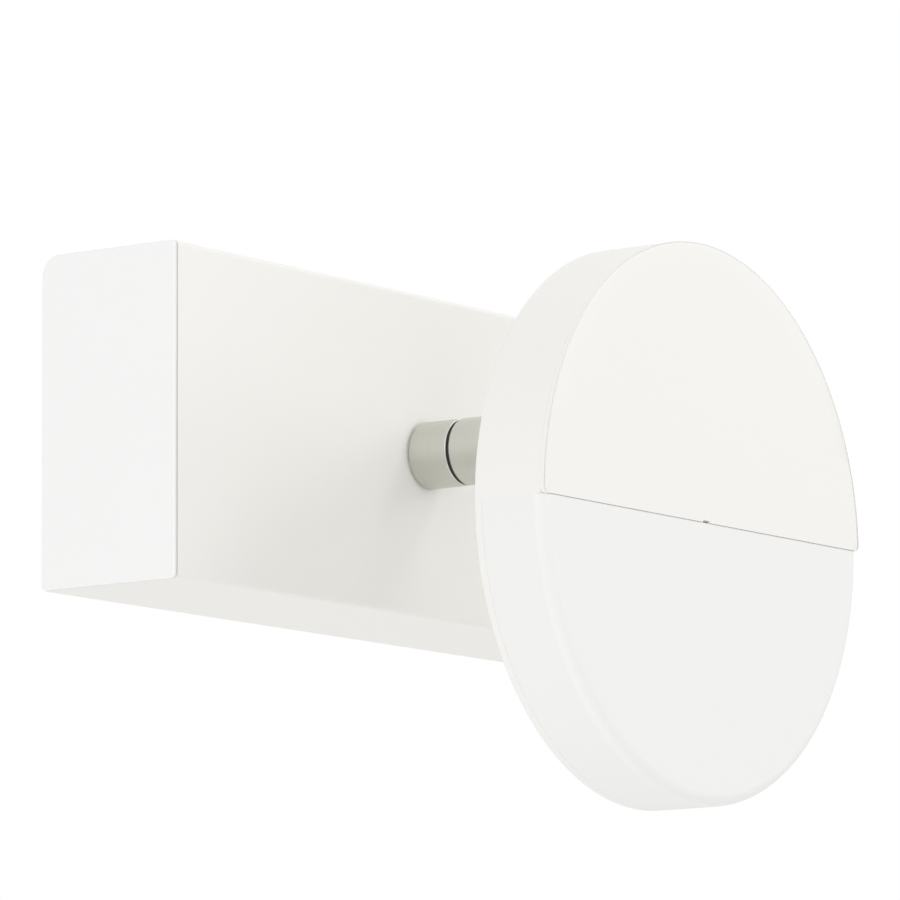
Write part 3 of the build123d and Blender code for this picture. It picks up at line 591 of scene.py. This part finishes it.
def swept_round(profile, centre_z, steps, start=0.0, end=WHOLE_TURN):
    """Grid of a profile of (radius, projection) carried round an axis along Y.

    A point is (r cos t, -p, centre_z + r sin t), for t from start to end.
    """
    whole = end - start == WHOLE_TURN
    turn = np.radians(np.linspace(start, end, steps + (0 if whole else 1), endpoint=not whole))
    radius, projection = (profile[:, part][:, None] for part in (0, 1))
    return np.stack([radius * np.cos(turn), -projection + 0 * turn,
                     centre_z + radius * np.sin(turn)], 2)


def box_outline(low, high, radii, inset, steps=8):
    """Rounded rectangle in (projection, height), moved inwards by inset.

    The sides move by inset and each corner keeps its centre, so its radius shrinks by inset.
    """
    low, high = np.array(low) + inset, np.array(high) - inset
    corners = [(low[0], low[1]), (high[0], low[1]), (high[0], high[1]), (low[0], high[1])]
    turns = np.radians([180.0, 270.0, 0.0, 90.0])
    swing = np.linspace(0.0, math.pi / 2, steps + 1)
    made = []
    for (across, up), start, radius in zip(corners, turns, radii):
        radius = max(radius - inset, 0.0)
        side = (1 if across == low[0] else -1, 1 if up == low[1] else -1)
        centre = (across + side[0] * radius, up + side[1] * radius)
        made.append(np.stack([centre[0] + radius * np.cos(start + swing),
                              centre[1] + radius * np.sin(start + swing)], 1))
    return np.concatenate(made)


def half_outline(radius, corner, inset, facets, breaks, rise, bite):
    """Half disc over a straight side near the X axis, moved inwards by inset.

    The straight side lies inset + rise above the axis, with a point at each share in breaks,
    raised by bite. Each corner's circle keeps its centre as the inset grows.
    """
    small = max(corner - inset, 0.0)
    lift, arm = rise + inset + small, radius - inset - small
    middle = math.sqrt(arm ** 2 - lift ** 2)
    lean = math.asin(lift / arm)
    side = np.stack([middle * breaks, np.full(len(breaks), inset + rise) + bite], 1)
    right = np.linspace(-math.pi / 2, lean, CORNER_STEPS)[:, None]
    left = math.pi - right[::-1]
    over = np.linspace(lean, math.pi - lean, facets + 1)[:, None]
    return np.concatenate([
        side,
        np.hstack([middle + small * np.cos(right), lift + small * np.sin(right)]),
        np.hstack([np.cos(over), np.sin(over)])[1:-1] * (radius - inset),
        np.hstack([-middle + small * np.cos(left), lift + small * np.sin(left)]),
    ])


def add_grids(piece, grids):
    """Adds more closed grids to a piece."""
    shape = bmesh.new()
    shape.from_mesh(piece.data)
    shape.from_mesh(closed_mesh("more", grids))
    shape.to_mesh(piece.data)
    shape.free()
    smooth(piece.data)


def turned_about(centre, out, outline, steps=48):
    """Grid of an outline of (radius, level) carried round an axis along out through the centre.

    A point is centre + r (cos t side + sin t up) + level out, with side and up square to out.
    """
    turn = np.radians(np.arange(0, 360, 360 / steps))[:, None]
    out = np.array(out, float)
    side = np.cross(out, (1.0, 0.0, 0.0))
    arm = np.cos(turn) * side + np.sin(turn) * np.cross(out, side)
    return np.array([np.array(centre) + radius * arm + level * out for radius, level in outline])


HOLE_SHARE = 0.55
CUTTER_ABOVE = 0.5 * MM


def cut_sinks(piece, centres, out, mouth, depth, through):
    """Cuts a countersunk hole at each centre: a cone over a plain hole.

    The cone goes on a little above the surface at the same slope, so no faces coincide.
    """
    hole = mouth * HOLE_SHARE
    wide = mouth + (mouth - hole) / depth * CUTTER_ABOVE
    outline = [(0.0, CUTTER_ABOVE), (wide, CUTTER_ABOVE), (hole, -depth), (hole, -through),
               (0.0, -through)]
    mesh = closed_mesh("cutter", [(turned_about(centre, out, outline), False, True, False)
                                  for centre in centres])
    cutter = bpy.data.objects.new("cutter", mesh)
    bpy.context.scene.collection.objects.link(cutter)
    cut = piece.modifiers.new("cut", "BOOLEAN")
    cut.operation, cut.solver, cut.object = "DIFFERENCE", "EXACT", cutter
    seen = piece.evaluated_get(bpy.context.evaluated_depsgraph_get())
    piece.data = bpy.data.meshes.new_from_object(seen)
    piece.modifiers.clear()
    smooth(piece.data)
    bpy.data.objects.remove(cutter)


# ---------------------------------------------------------------- box on the wall
NEARLY = 0.01 * MM
PLUG_EDGE = 0.3 * MM
LIP_EDGE = 0.08 * MM
CAP_FLOOR = 0.1 * MM


def make_cover(sizes):
    """U-shaped cover: its section is carried along X.

    The section is the closed line round the three walls. At a distance d from an end, its feet
    draw back by r - sqrt(r2 - (r - d)2), which rounds the corners at the wall, and its outer
    faces by the bevel less d.
    """
    half = CAP_HIGH[0] - sizes.seam_lip - sizes.seam_width
    depth, height = -COVER_LOW[1], COVER_HIGH[2]
    inner_depth, inner_height = depth - sizes.wall, height - sizes.wall
    near = 1 - np.cos(np.linspace(0.0, math.pi / 2, 13))
    from_end = np.unique(np.concatenate([[sizes.cover_bevel, half], sizes.upper_corner * near,
                                         sizes.lower_corner * near[::2]]))
    stations = np.concatenate([from_end - half, (half - from_end)[-2::-1]])
    from_end = np.concatenate([from_end, from_end[-2::-1]])
    shrink = np.clip(sizes.cover_bevel - from_end, 0.0, None)

    corners = [(0.0, height), (depth, height), (depth, -height), (0.0, -height),
               (0.0, -inner_height), (inner_depth, -inner_height),
               (inner_depth, inner_height), (0.0, inner_height)]
    section = closed_profile(corners, [0, sizes.edge_radius, sizes.edge_radius, 0, 0, 0, 0, 0], 10)
    projection, level = section[:, :1], section[:, 1:]
    radius = np.where(level > 0.0, sizes.upper_corner, sizes.lower_corner)
    foot = radius - np.sqrt(radius ** 2 - np.clip(radius - from_end, 0.0, None) ** 2)
    in_front = projection > inner_depth + NEARLY
    on_side = np.sign(level) * (np.abs(level) > inner_height + NEARLY)
    grid = np.stack([stations + 0 * projection,
                     -np.maximum(projection - shrink * in_front, foot),
                     level - shrink * on_side], 2)
    return add_piece("cover_shell", [(grid, True, False, True)], "housing", "white_paint",
                     ["housing_cover"])


def make_end_cap(sizes, side):
    """End cap from rounded rectangles of growing inset.

    They go from the middle of the outer face over the rounded edge, down the side, round the
    shadow gap, back along the plug and to the middle of its floor.
    """
    low, high = (-CAP_HIGH[1], CAP_LOW[2]), (-CAP_LOW[1], CAP_HIGH[2])
    outer, plug_end = CAP_HIGH[0], CAP_LOW[0]
    radii = (sizes.lower_corner, sizes.edge_radius, sizes.edge_radius, sizes.upper_corner)
    floor = COVER_HIGH[0] + CAP_FLOOR
    lip, inner = outer - sizes.seam_lip, sizes.plug_inset + sizes.plug_wall
    path = rounded(
        [(FACE_INSET, outer), (0.0, outer), (0.0, lip), (sizes.seam_depth, lip),
         (sizes.seam_depth, lip - sizes.seam_width), (sizes.plug_inset, lip - sizes.seam_width),
         (sizes.plug_inset, plug_end), (inner, plug_end), (inner, floor)],
        [sizes.cap_edge, LIP_EDGE, 0.0, 0.0, 0.0, PLUG_EDGE, PLUG_EDGE], 8, FINE_KEEP)
    rows = [np.insert(box_outline(low, high, radii, inset), 0, x, axis=1) for inset, x in path]
    middle = ((low[0] + high[0]) / 2, (low[1] + high[1]) / 2)
    first = np.tile([outer, *middle], (len(rows[0]), 1))
    last = np.tile([floor, *middle], (len(rows[0]), 1))
    grid = np.array([first, *rows, last]) * (side, -1.0, 1.0)
    name, node = ("cap_right", "end_cap_right") if side > 0 else ("cap_left", "end_cap_left")
    add_piece(name, [(grid, False, True, False)], "housing", "white_cap", [node])


# ---------------------------------------------------------------- screws
SHANK_RADIUS = 1.45 * MM
CROSS_SIZE = (1.5 * MM, 0.35 * MM)
CROSS_DEPTH = 0.9 * MM
HEX_SIZE = (1.25 * MM,)
HEX_DEPTH = 1.2 * MM
RECESS_TAPER = 0.82
PIN_SEAT = 5.65 * MM
PIN_RADIUS = 2.0 * MM
PIN_CHAMFER = 0.4 * MM
TINY = 1e-9


def cross_recess(turn, arm, width):
    """Radius of a plus sign: the farther of its two bars at each angle."""
    across, up = np.abs(np.cos(turn)) + TINY, np.abs(np.sin(turn)) + TINY
    return np.maximum(np.minimum(arm / across, width / up), np.minimum(arm / up, width / across))


def hex_recess(turn, flat):
    """Radius of a hexagon: its half width over the cosine of the angle from a flat."""
    sixth = math.pi / 3
    return flat / np.cos((turn + sixth / 2) % sixth - sixth / 2)


def screw_grid(centre, out, outline, recess, size, depth, steps=96):
    """Grid of one screw: floor of the recess, its wall, then the outline of (radius, height).

    The wall follows the recess's radius at each angle and narrows to RECESS_TAPER of it below.
    """
    turn = np.radians(np.arange(0, 360, 360 / steps))
    edge = recess(turn, *size)
    top = outline[0][1]
    rows = [(0 * turn, top - depth), (edge * RECESS_TAPER, top - depth), (edge, top)]
    rows += [(np.full(steps, radius), level) for radius, level in outline]
    rows.append((0 * turn, outline[-1][1]))
    out = np.array(out, float)
    side = np.cross(out, (0.0, 1.0, 0.0) if abs(out[1]) < 0.5 else (0.0, 0.0, 1.0))
    side /= np.linalg.norm(side)
    up = np.cross(out, side)
    return np.array([np.array(centre) + radius[:, None] * (np.cos(turn)[:, None] * side
                                                            + np.sin(turn)[:, None] * up)
                     + level * out for radius, level in rows])


def place_screws(name, node, body, slot, centres, out, outline, recess, size, depth):
    """All screws of one node, as one piece."""
    grids = [(screw_grid(centre, out, outline, recess, size, depth), False, True, False)
             for centre in centres]
    add_piece(name, grids, body, slot, [node])


def screw_head_radius():
    """Radius of a countersunk head: half the breadth of the cover's screws."""
    low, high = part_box("cover_screws")
    return (high[1] - low[1]) / 2


def cover_screw_places():
    """Centres of the cover screws' faces, one near each end of the box's top."""
    low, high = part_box("cover_screws")
    across = high[0] - screw_head_radius()
    return [(side * across, (low[1] + high[1]) / 2, high[2]) for side in (-1, 1)]


def diffuser_screw_places():
    """Centres of the three diffuser screws' faces, on a ring behind the lower half."""
    low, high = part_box("diffuser_screws")
    ring = HEAD_Z - low[2] - screw_head_radius()
    return [(ring * math.cos(turn), high[1], HEAD_Z + ring * math.sin(turn))
            for turn in np.radians([200.0, 270.0, 340.0])]


def place_flush_screws(name, node, body, slot, centres, out, axis):
    """Countersunk screws: flat rim, cone and shank, with the heads' faces at height 0."""
    head, shank = screw_head_radius(), SHANK_RADIUS
    low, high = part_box(node)
    end = low[axis] - high[axis]
    outline = [(head - 0.12 * MM, 0.0), (head, -0.08 * MM), (head, -0.22 * MM),
               (shank, -1.6 * MM), (shank, end + 0.5 * MM), (shank - 0.4 * MM, end)]
    place_screws(name, node, body, slot, centres, out, outline, cross_recess, CROSS_SIZE,
                 CROSS_DEPTH)


def make_hinge_pin():
    """Hinge screw along X: chamfered head with a hexagon, and its plain shank."""
    low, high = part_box("hinge_screw")
    head, end, seat = (high[2] - low[2]) / 2, low[0] - high[0], PIN_SEAT - high[0]
    outline = [(head - PIN_CHAMFER, 0.0), (head - 0.1 * MM, -0.1 * MM), (head, -PIN_CHAMFER),
               (head, seat), (PIN_RADIUS, seat), (PIN_RADIUS, end + PIN_CHAMFER),
               (PIN_RADIUS - PIN_CHAMFER, end)]
    place_screws("hinge_pin", "hinge_screw", "swivel", "screw_steel",
                 [(high[0], (low[1] + high[1]) / 2, 0.0)], (1, 0, 0), outline, hex_recess,
                 HEX_SIZE, HEX_DEPTH)


# ---------------------------------------------------------------- swivel tube
FINE_EDGE = 0.1 * MM
WASHER_PLAY = 0.05 * MM


def make_sleeve(sizes):
    """Fixed piece of the tube, turned: spigot, undercut at its foot and outer wall."""
    back, front = reach("base_sleeve")
    shoulder = -COVER_LOW[1]
    radius, waist = SLEEVE_RADIUS, SLEEVE_RADIUS - sizes.undercut_depth
    profile = closed_profile(
        [(sizes.bore, back), (sizes.spigot, back), (sizes.spigot, shoulder), (waist, shoulder),
         (waist, shoulder + sizes.undercut_width), (radius, shoulder + sizes.undercut_width),
         (radius, front), (sizes.bore, front)],
        [0, 0.3 * MM, 0, 0, 0, FINE_EDGE, sizes.end_round, 0.2 * MM], 6)
    add_piece("tube_sleeve", [(swept_round(profile, 0.0, 160), True, True, False)],
              "housing", "satin_nickel", ["base_sleeve"])


def make_washer(sizes):
    """Black washer in the turning gap, with a rounded rim."""
    back, front = reach("friction_washer")
    radius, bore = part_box("friction_washer")[1][0], sizes.bore + WASHER_PLAY
    profile = closed_profile([(bore, back), (radius, back), (radius, front), (bore, front)],
                             [0, sizes.washer_bulge, sizes.washer_bulge, 0], 5)
    add_piece("gap_washer", [(swept_round(profile, 0.0, 128), True, True, False)],
              "housing", "black_nylon", ["friction_washer"])


# ---------------------------------------------------------------- round head
def make_drum(sizes):
    """Metal half of the head: the back disc, the rim of the upper half and the seam's wall."""
    back, front = reach("head_shell")
    floor = back + sizes.floor
    radius, inner = HEAD_RADIUS, HEAD_RADIUS - sizes.wall
    disc = rounded([(0.0, back), (radius, back), (radius, floor), (0.0, floor)],
                   [sizes.back_round, 0.0], 10)
    rim = closed_profile([(inner, floor), (radius, floor), (radius, front), (inner, front)],
                         [0, 0, sizes.rim_break, sizes.rim_break], 4)
    reach_x = math.sqrt(inner ** 2 - sizes.wall ** 2)
    across = np.array([-reach_x, reach_x])
    loop = np.array([(floor, 0.0), (front, 0.0), (front, sizes.wall), (floor, sizes.wall)])
    wall = np.stack([0 * loop[:, :1] + across, -loop[:, :1] + 0 * across,
                     HEAD_Z + loop[:, 1:] + 0 * across], 2)
    drum = add_piece("head_drum",
                     [(swept_round(disc, HEAD_Z, 2 * sizes.facets), False, True, False)],
                     "head", "white_paint", ["head_shell"])
    cut_sinks(drum, diffuser_screw_places(), (0, 1, 0), sizes.sink_radius, sizes.sink_depth,
              2 * sizes.floor)
    add_grids(drum, [(swept_round(rim, HEAD_Z, sizes.facets, 0.0, 180.0), True, False, True),
                     (wall, True, False, True)])


def dip(place, centre, width):
    """Cosine dip, 1 deep at its centre and 0 beyond half its width."""
    near = np.clip(np.abs(place - centre) / (width / 2), 0.0, 1.0)
    return 0.5 + 0.5 * np.cos(math.pi * near)


FADE_POWER = 0.35
FAN_CENTRE = 0.42


def make_plate(sizes):
    """Thin half-round plate with a fine groove along its round edge.

    Half outlines of growing inset go from the middle of the back over the edge and across the
    groove to the middle of the front. The groove is a cosine dip of the inset. It runs out in
    the two corners and gets shallower with the height above the seam.
    """
    back, front = reach("head_shell")[1], PLATE_FRONT
    inset, width = sizes.groove_inset, sizes.groove_width
    edge = rounded([(FACE_INSET, back), (0.0, back), (0.0, front), (inset, front)],
                   [FINE_EDGE, sizes.plate_edge], 5, FINE_KEEP)[:-1]
    across = inset + width * np.linspace(-0.5, 0.5, 11)
    insets = np.concatenate([edge[:, 0], across, [FACE_INSET]])[:, None]
    levels = np.concatenate([edge[:, 1], np.full(len(across) + 1, front)])[:, None]
    notch = sizes.notch_width / 2 / HEAD_RADIUS
    breaks = np.array([-0.97, -0.6, -0.2, -1.3 * notch, -notch, notch, 1.3 * notch,
                       0.2, 0.6, 0.97])
    bite = np.where(np.abs(breaks) < 1.1 * notch, sizes.notch_depth, 0.0)
    lines = np.array([half_outline(HEAD_RADIUS, sizes.plate_corner, far, sizes.facets, breaks,
                                   sizes.seam_gap, bite * (far < FACE_INSET))
                      for far in insets[:, 0]])
    ease = np.linspace(0.0, 1.0, CORNER_STEPS)
    round_edge = np.concatenate([0 * breaks, ease, np.ones(sizes.facets - 1), ease[::-1]])
    fade = 1.0 - sizes.groove_fade * np.clip(lines[:, :, 1] / HEAD_RADIUS, 0.0, 1.0) ** FADE_POWER
    on_front = levels > front - 0.001 * MM
    drop = on_front * round_edge * fade * sizes.groove_depth * dip(insets, inset, width)
    grid = np.stack([lines[:, :, 0], drop - levels, HEAD_Z + lines[:, :, 1]], 2)
    middle = HEAD_Z + FAN_CENTRE * HEAD_RADIUS
    first, last = (np.broadcast_to([0.0, -level, middle], (1, *grid.shape[1:]))
                   for level in (back, front))
    add_piece("half_plate", [(np.concatenate([first, grid, last]), False, True, False)],
              "head", "white_paint", ["cover_plate"])


def make_opal(sizes):
    """Diffuser: the section of rim and face carried round the lower half, closed at the seam."""
    back, front = reach("diffuser")
    radius, inner = HEAD_RADIUS, HEAD_RADIUS - sizes.wall
    profile = rounded([(0.0, front - sizes.wall), (0.0, front), (radius, front), (radius, back),
                       (inner, back), (inner, front - sizes.wall)],
                      [0.0, sizes.opal_edge, FINE_EDGE, FINE_EDGE], 10)
    half = swept_round(profile, HEAD_Z, sizes.facets, 180.0, 360.0)
    add_piece("opal_half", [(half, True, False, True)], "head", "opal_plastic", ["diffuser"])


# ---------------------------------------------------------------- operators
class BuildStep(bpy.types.Operator):
    """What the steps of the build share."""

    @classmethod
    def poll(cls, context):
        return hasattr(context.scene, "wall_spotlight")

    def settings(self, context):
        """The settings, with the finishes made if they aren't yet."""
        settings = context.scene.wall_spotlight
        if not FINISHES:
            prepare_finishes(settings)
        return settings


class MakeHousing(BuildStep):
    """Cover and end caps of the box on the wall"""

    bl_idname = "wall_spotlight.housing"
    bl_label = "Box on the wall"

    def execute(self, context):
        sizes = self.settings(context).housing
        cut_sinks(make_cover(sizes), cover_screw_places(), (0, 0, 1), sizes.sink_radius,
                  sizes.sink_depth, 2 * sizes.wall)
        for side in (-1, 1):
            make_end_cap(sizes, side)
        return {"FINISHED"}


class MakeTube(BuildStep):
    """Fixed sleeve of the swivel tube and the washer in its gap"""

    bl_idname = "wall_spotlight.tube"
    bl_label = "Swivel tube"

    def execute(self, context):
        sizes = self.settings(context).tube
        make_sleeve(sizes)
        make_washer(sizes)
        return {"FINISHED"}


class MakeHead(BuildStep):
    """Drum, half-round plate and diffuser of the head"""

    bl_idname = "wall_spotlight.head"
    bl_label = "Round head"

    def execute(self, context):
        sizes = self.settings(context).head
        make_drum(sizes)
        make_plate(sizes)
        make_opal(sizes)
        return {"FINISHED"}


class MakeScrews(BuildStep):
    """Screws that show, each with its drive recess"""

    bl_idname = "wall_spotlight.screws"
    bl_label = "Screws"

    def execute(self, context):
        self.settings(context)
        place_flush_screws("cover_screw_heads", "cover_screws", "housing", "white_screw",
                           cover_screw_places(), (0, 0, 1), 2)
        place_flush_screws("diffuser_screw_heads", "diffuser_screws", "head", "screw_steel",
                           diffuser_screw_places(), (0, 1, 0), 1)
        make_hinge_pin()
        return {"FINISHED"}


class FinishSolids(BuildStep):
    """Finishes of the solids that are shown as they are"""

    bl_idname = "wall_spotlight.solids"
    bl_label = "Other parts"

    def execute(self, context):
        slots = {part["node"]: part["material_slot"] for part in frame["record"]["subparts"]}
        self.settings(context)
        for name, node in NODES.items():
            node.data.materials.clear()
            node.data.materials.append(FINISHES[slots[name]])
        return {"FINISHED"}


class MakeStage(BuildStep):
    """Floor, surround, lights and camera"""

    bl_idname = "wall_spotlight.stage"
    bl_label = "Stage"

    def execute(self, context):
        studio = self.settings(context).studio
        context.scene.view_settings.view_transform = "Standard"
        make_floor(studio)
        make_surround(studio)
        make_lights(studio)
        make_camera(studio)
        return {"FINISHED"}


# ---------------------------------------------------------------- stage
def background_rays(shader):
    """1 for rays that see the background straight, in a reflection or through glass."""
    seen = [shader.node("ShaderNodeLightPath", output=name)
            for name in ("Is Camera Ray", "Is Glossy Ray", "Is Transmission Ray")]
    return seen[0].math("MAXIMUM", seen[0], seen[0].math("MAXIMUM", seen[1], seen[2]))


WHITE = (1.0, 1.0, 1.0, 1.0)
FLOOR_WHITE = (0.9, 0.9, 0.9, 1.0)
FLOOR_GLOW = 0.8
FLOOR_SIDE = 60.0
AIM = Vector((0.0, -0.06, -0.02))
SENSOR_WIDTH = 36.0
CLIP_START, CLIP_END = 0.05, 200.0


def make_floor(studio):
    """Plain pale floor, far below the light."""
    span = [-FLOOR_SIDE, FLOOR_SIDE]
    grid = np.stack([*np.meshgrid(span, span, indexing="ij"),
                     np.full((2, 2), studio.floor_drop)], 2)
    mesh = bpy.data.meshes.new("floor")
    mesh.from_pydata(grid.reshape(-1, 3).tolist(), [], [[0, 2, 3, 1]])
    floor = bpy.data.objects.new("floor", mesh)
    bpy.context.scene.collection.objects.link(floor)
    material = bpy.data.materials.new("pale_floor")
    material.use_nodes = True
    shader = Shader(material.node_tree)
    matt = shader.node("ShaderNodeBsdfDiffuse", None, {"Color": FLOOR_WHITE})
    glow = shader.node("ShaderNodeEmission", None, {"Color": WHITE, "Strength": 1.0})
    both = shader.node("ShaderNodeMixShader", None,
                       {0: background_rays(shader) * FLOOR_GLOW, 1: matt, 2: glow})
    shader.node("ShaderNodeOutputMaterial", None, {"Surface": both})
    mesh.materials.append(material)


def make_surround(studio):
    """World: even light on the object, and plain white where the background is seen."""
    world = bpy.data.worlds.new("surround")
    bpy.context.scene.world = world
    world.use_nodes = True
    shader = Shader(world.node_tree)
    even = shader.node("ShaderNodeBackground", None,
                       {"Color": WHITE, "Strength": studio.surround})
    white = shader.node("ShaderNodeBackground", None, {"Color": WHITE, "Strength": 1.0})
    both = shader.node("ShaderNodeMixShader", None,
                       {0: background_rays(shader), 1: even, 2: white})
    shader.node("ShaderNodeOutputWorld", None, {"Surface": both})


def make_lights(studio):
    """Large soft lights, each set by how bright it renders white that faces it."""
    lamps = (("high_key", studio.high_key, (1.2, -1.7, 2.0), 1.0),
             ("side_key", studio.side_key, (2.2, -1.6, 1.1), 1.0),
             ("front_key", studio.front_key, (0.9, -2.3, 1.6), 1.0),
             ("left", studio.left, (-2.5, -0.6, 0.5), 1.8),
             ("high_left", studio.high_left, (-1.6, -1.6, 1.6), 1.6),
             ("under", studio.under, (-0.4, -0.3, -1.3), 1.4))
    for name, strength, place, size in lamps:
        data = bpy.data.lights.new(name, "AREA")
        data.shape, data.size = "DISK", size
        away = Vector(place) - AIM
        data.energy = strength * math.pi ** 2 * away.length_squared
        lamp = bpy.data.objects.new(name, data)
        lamp.location = place
        lamp.rotation_euler = away.to_track_quat("Z", "Y").to_euler()
        bpy.context.scene.collection.objects.link(lamp)


def make_camera(studio):
    """Camera at the photograph's angle: out along its axis, then offset right and up."""
    turn, rise, roll = studio.azimuth, studio.elevation, studio.roll
    back = Vector((math.sin(turn) * math.cos(rise), -math.cos(turn) * math.cos(rise),
                   math.sin(rise)))
    level = (-back).cross(Vector((0, 0, 1))).normalized()
    upright = level.cross(-back)
    right = level * math.cos(roll) + upright * math.sin(roll)
    up = upright * math.cos(roll) - level * math.sin(roll)
    place = right * studio.offset_right + up * studio.offset_up + back * studio.distance
    data = bpy.data.cameras.new("camera")
    data.lens, data.sensor_width = studio.lens, SENSOR_WIDTH
    data.clip_start, data.clip_end = CLIP_START, CLIP_END
    camera = bpy.data.objects.new("camera", data)
    turned = Matrix((right, up, back)).transposed().to_4x4()
    camera.matrix_world = Matrix.Translation(place) @ turned
    bpy.context.scene.collection.objects.link(camera)
    bpy.context.scene.camera = camera


# ---------------------------------------------------------------- panel and registration
STEPS = (MakeHousing, MakeTube, MakeHead, MakeScrews, FinishSolids, MakeStage)


class SpotlightPanel(bpy.types.Panel):
    """Lists the steps and the settings"""

    bl_idname = "VIEW3D_PT_wall_spotlight"
    bl_label = "Wall spotlight"
    bl_space_type = "VIEW_3D"
    bl_region_type = "UI"
    bl_category = "Wall spotlight"

    def draw(self, context):
        settings = context.scene.wall_spotlight
        for step in STEPS:
            self.layout.operator(step.bl_idname)
        for group in ("housing", "tube", "head", "finish", "studio"):
            box = self.layout.box()
            box.label(text=group.capitalize())
            part = getattr(settings, group)
            for key in part.bl_rna.properties.keys():
                if key not in ("rna_type", "name"):
                    box.prop(part, key)


CLASSES = (HousingSettings, TubeSettings, HeadSettings, FinishSettings, StudioSettings,
           SpotlightSettings, *STEPS, SpotlightPanel)


def register():
    """Registers the classes and the scene's settings."""
    for part in CLASSES:
        bpy.utils.register_class(part)
    bpy.types.Scene.wall_spotlight = PointerProperty(type=SpotlightSettings)


def unregister():
    """Takes back what register did."""
    del bpy.types.Scene.wall_spotlight
    for part in reversed(CLASSES):
        bpy.utils.unregister_class(part)


def main():
    """Registers the add-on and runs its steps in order."""
    register()
    steps = bpy.ops.wall_spotlight
    steps.housing()
    steps.tube()
    steps.head()
    steps.screws()
    steps.solids()
    steps.stage()
    bpy.context.view_layer.update()


if __name__ == "__main__":
    main()
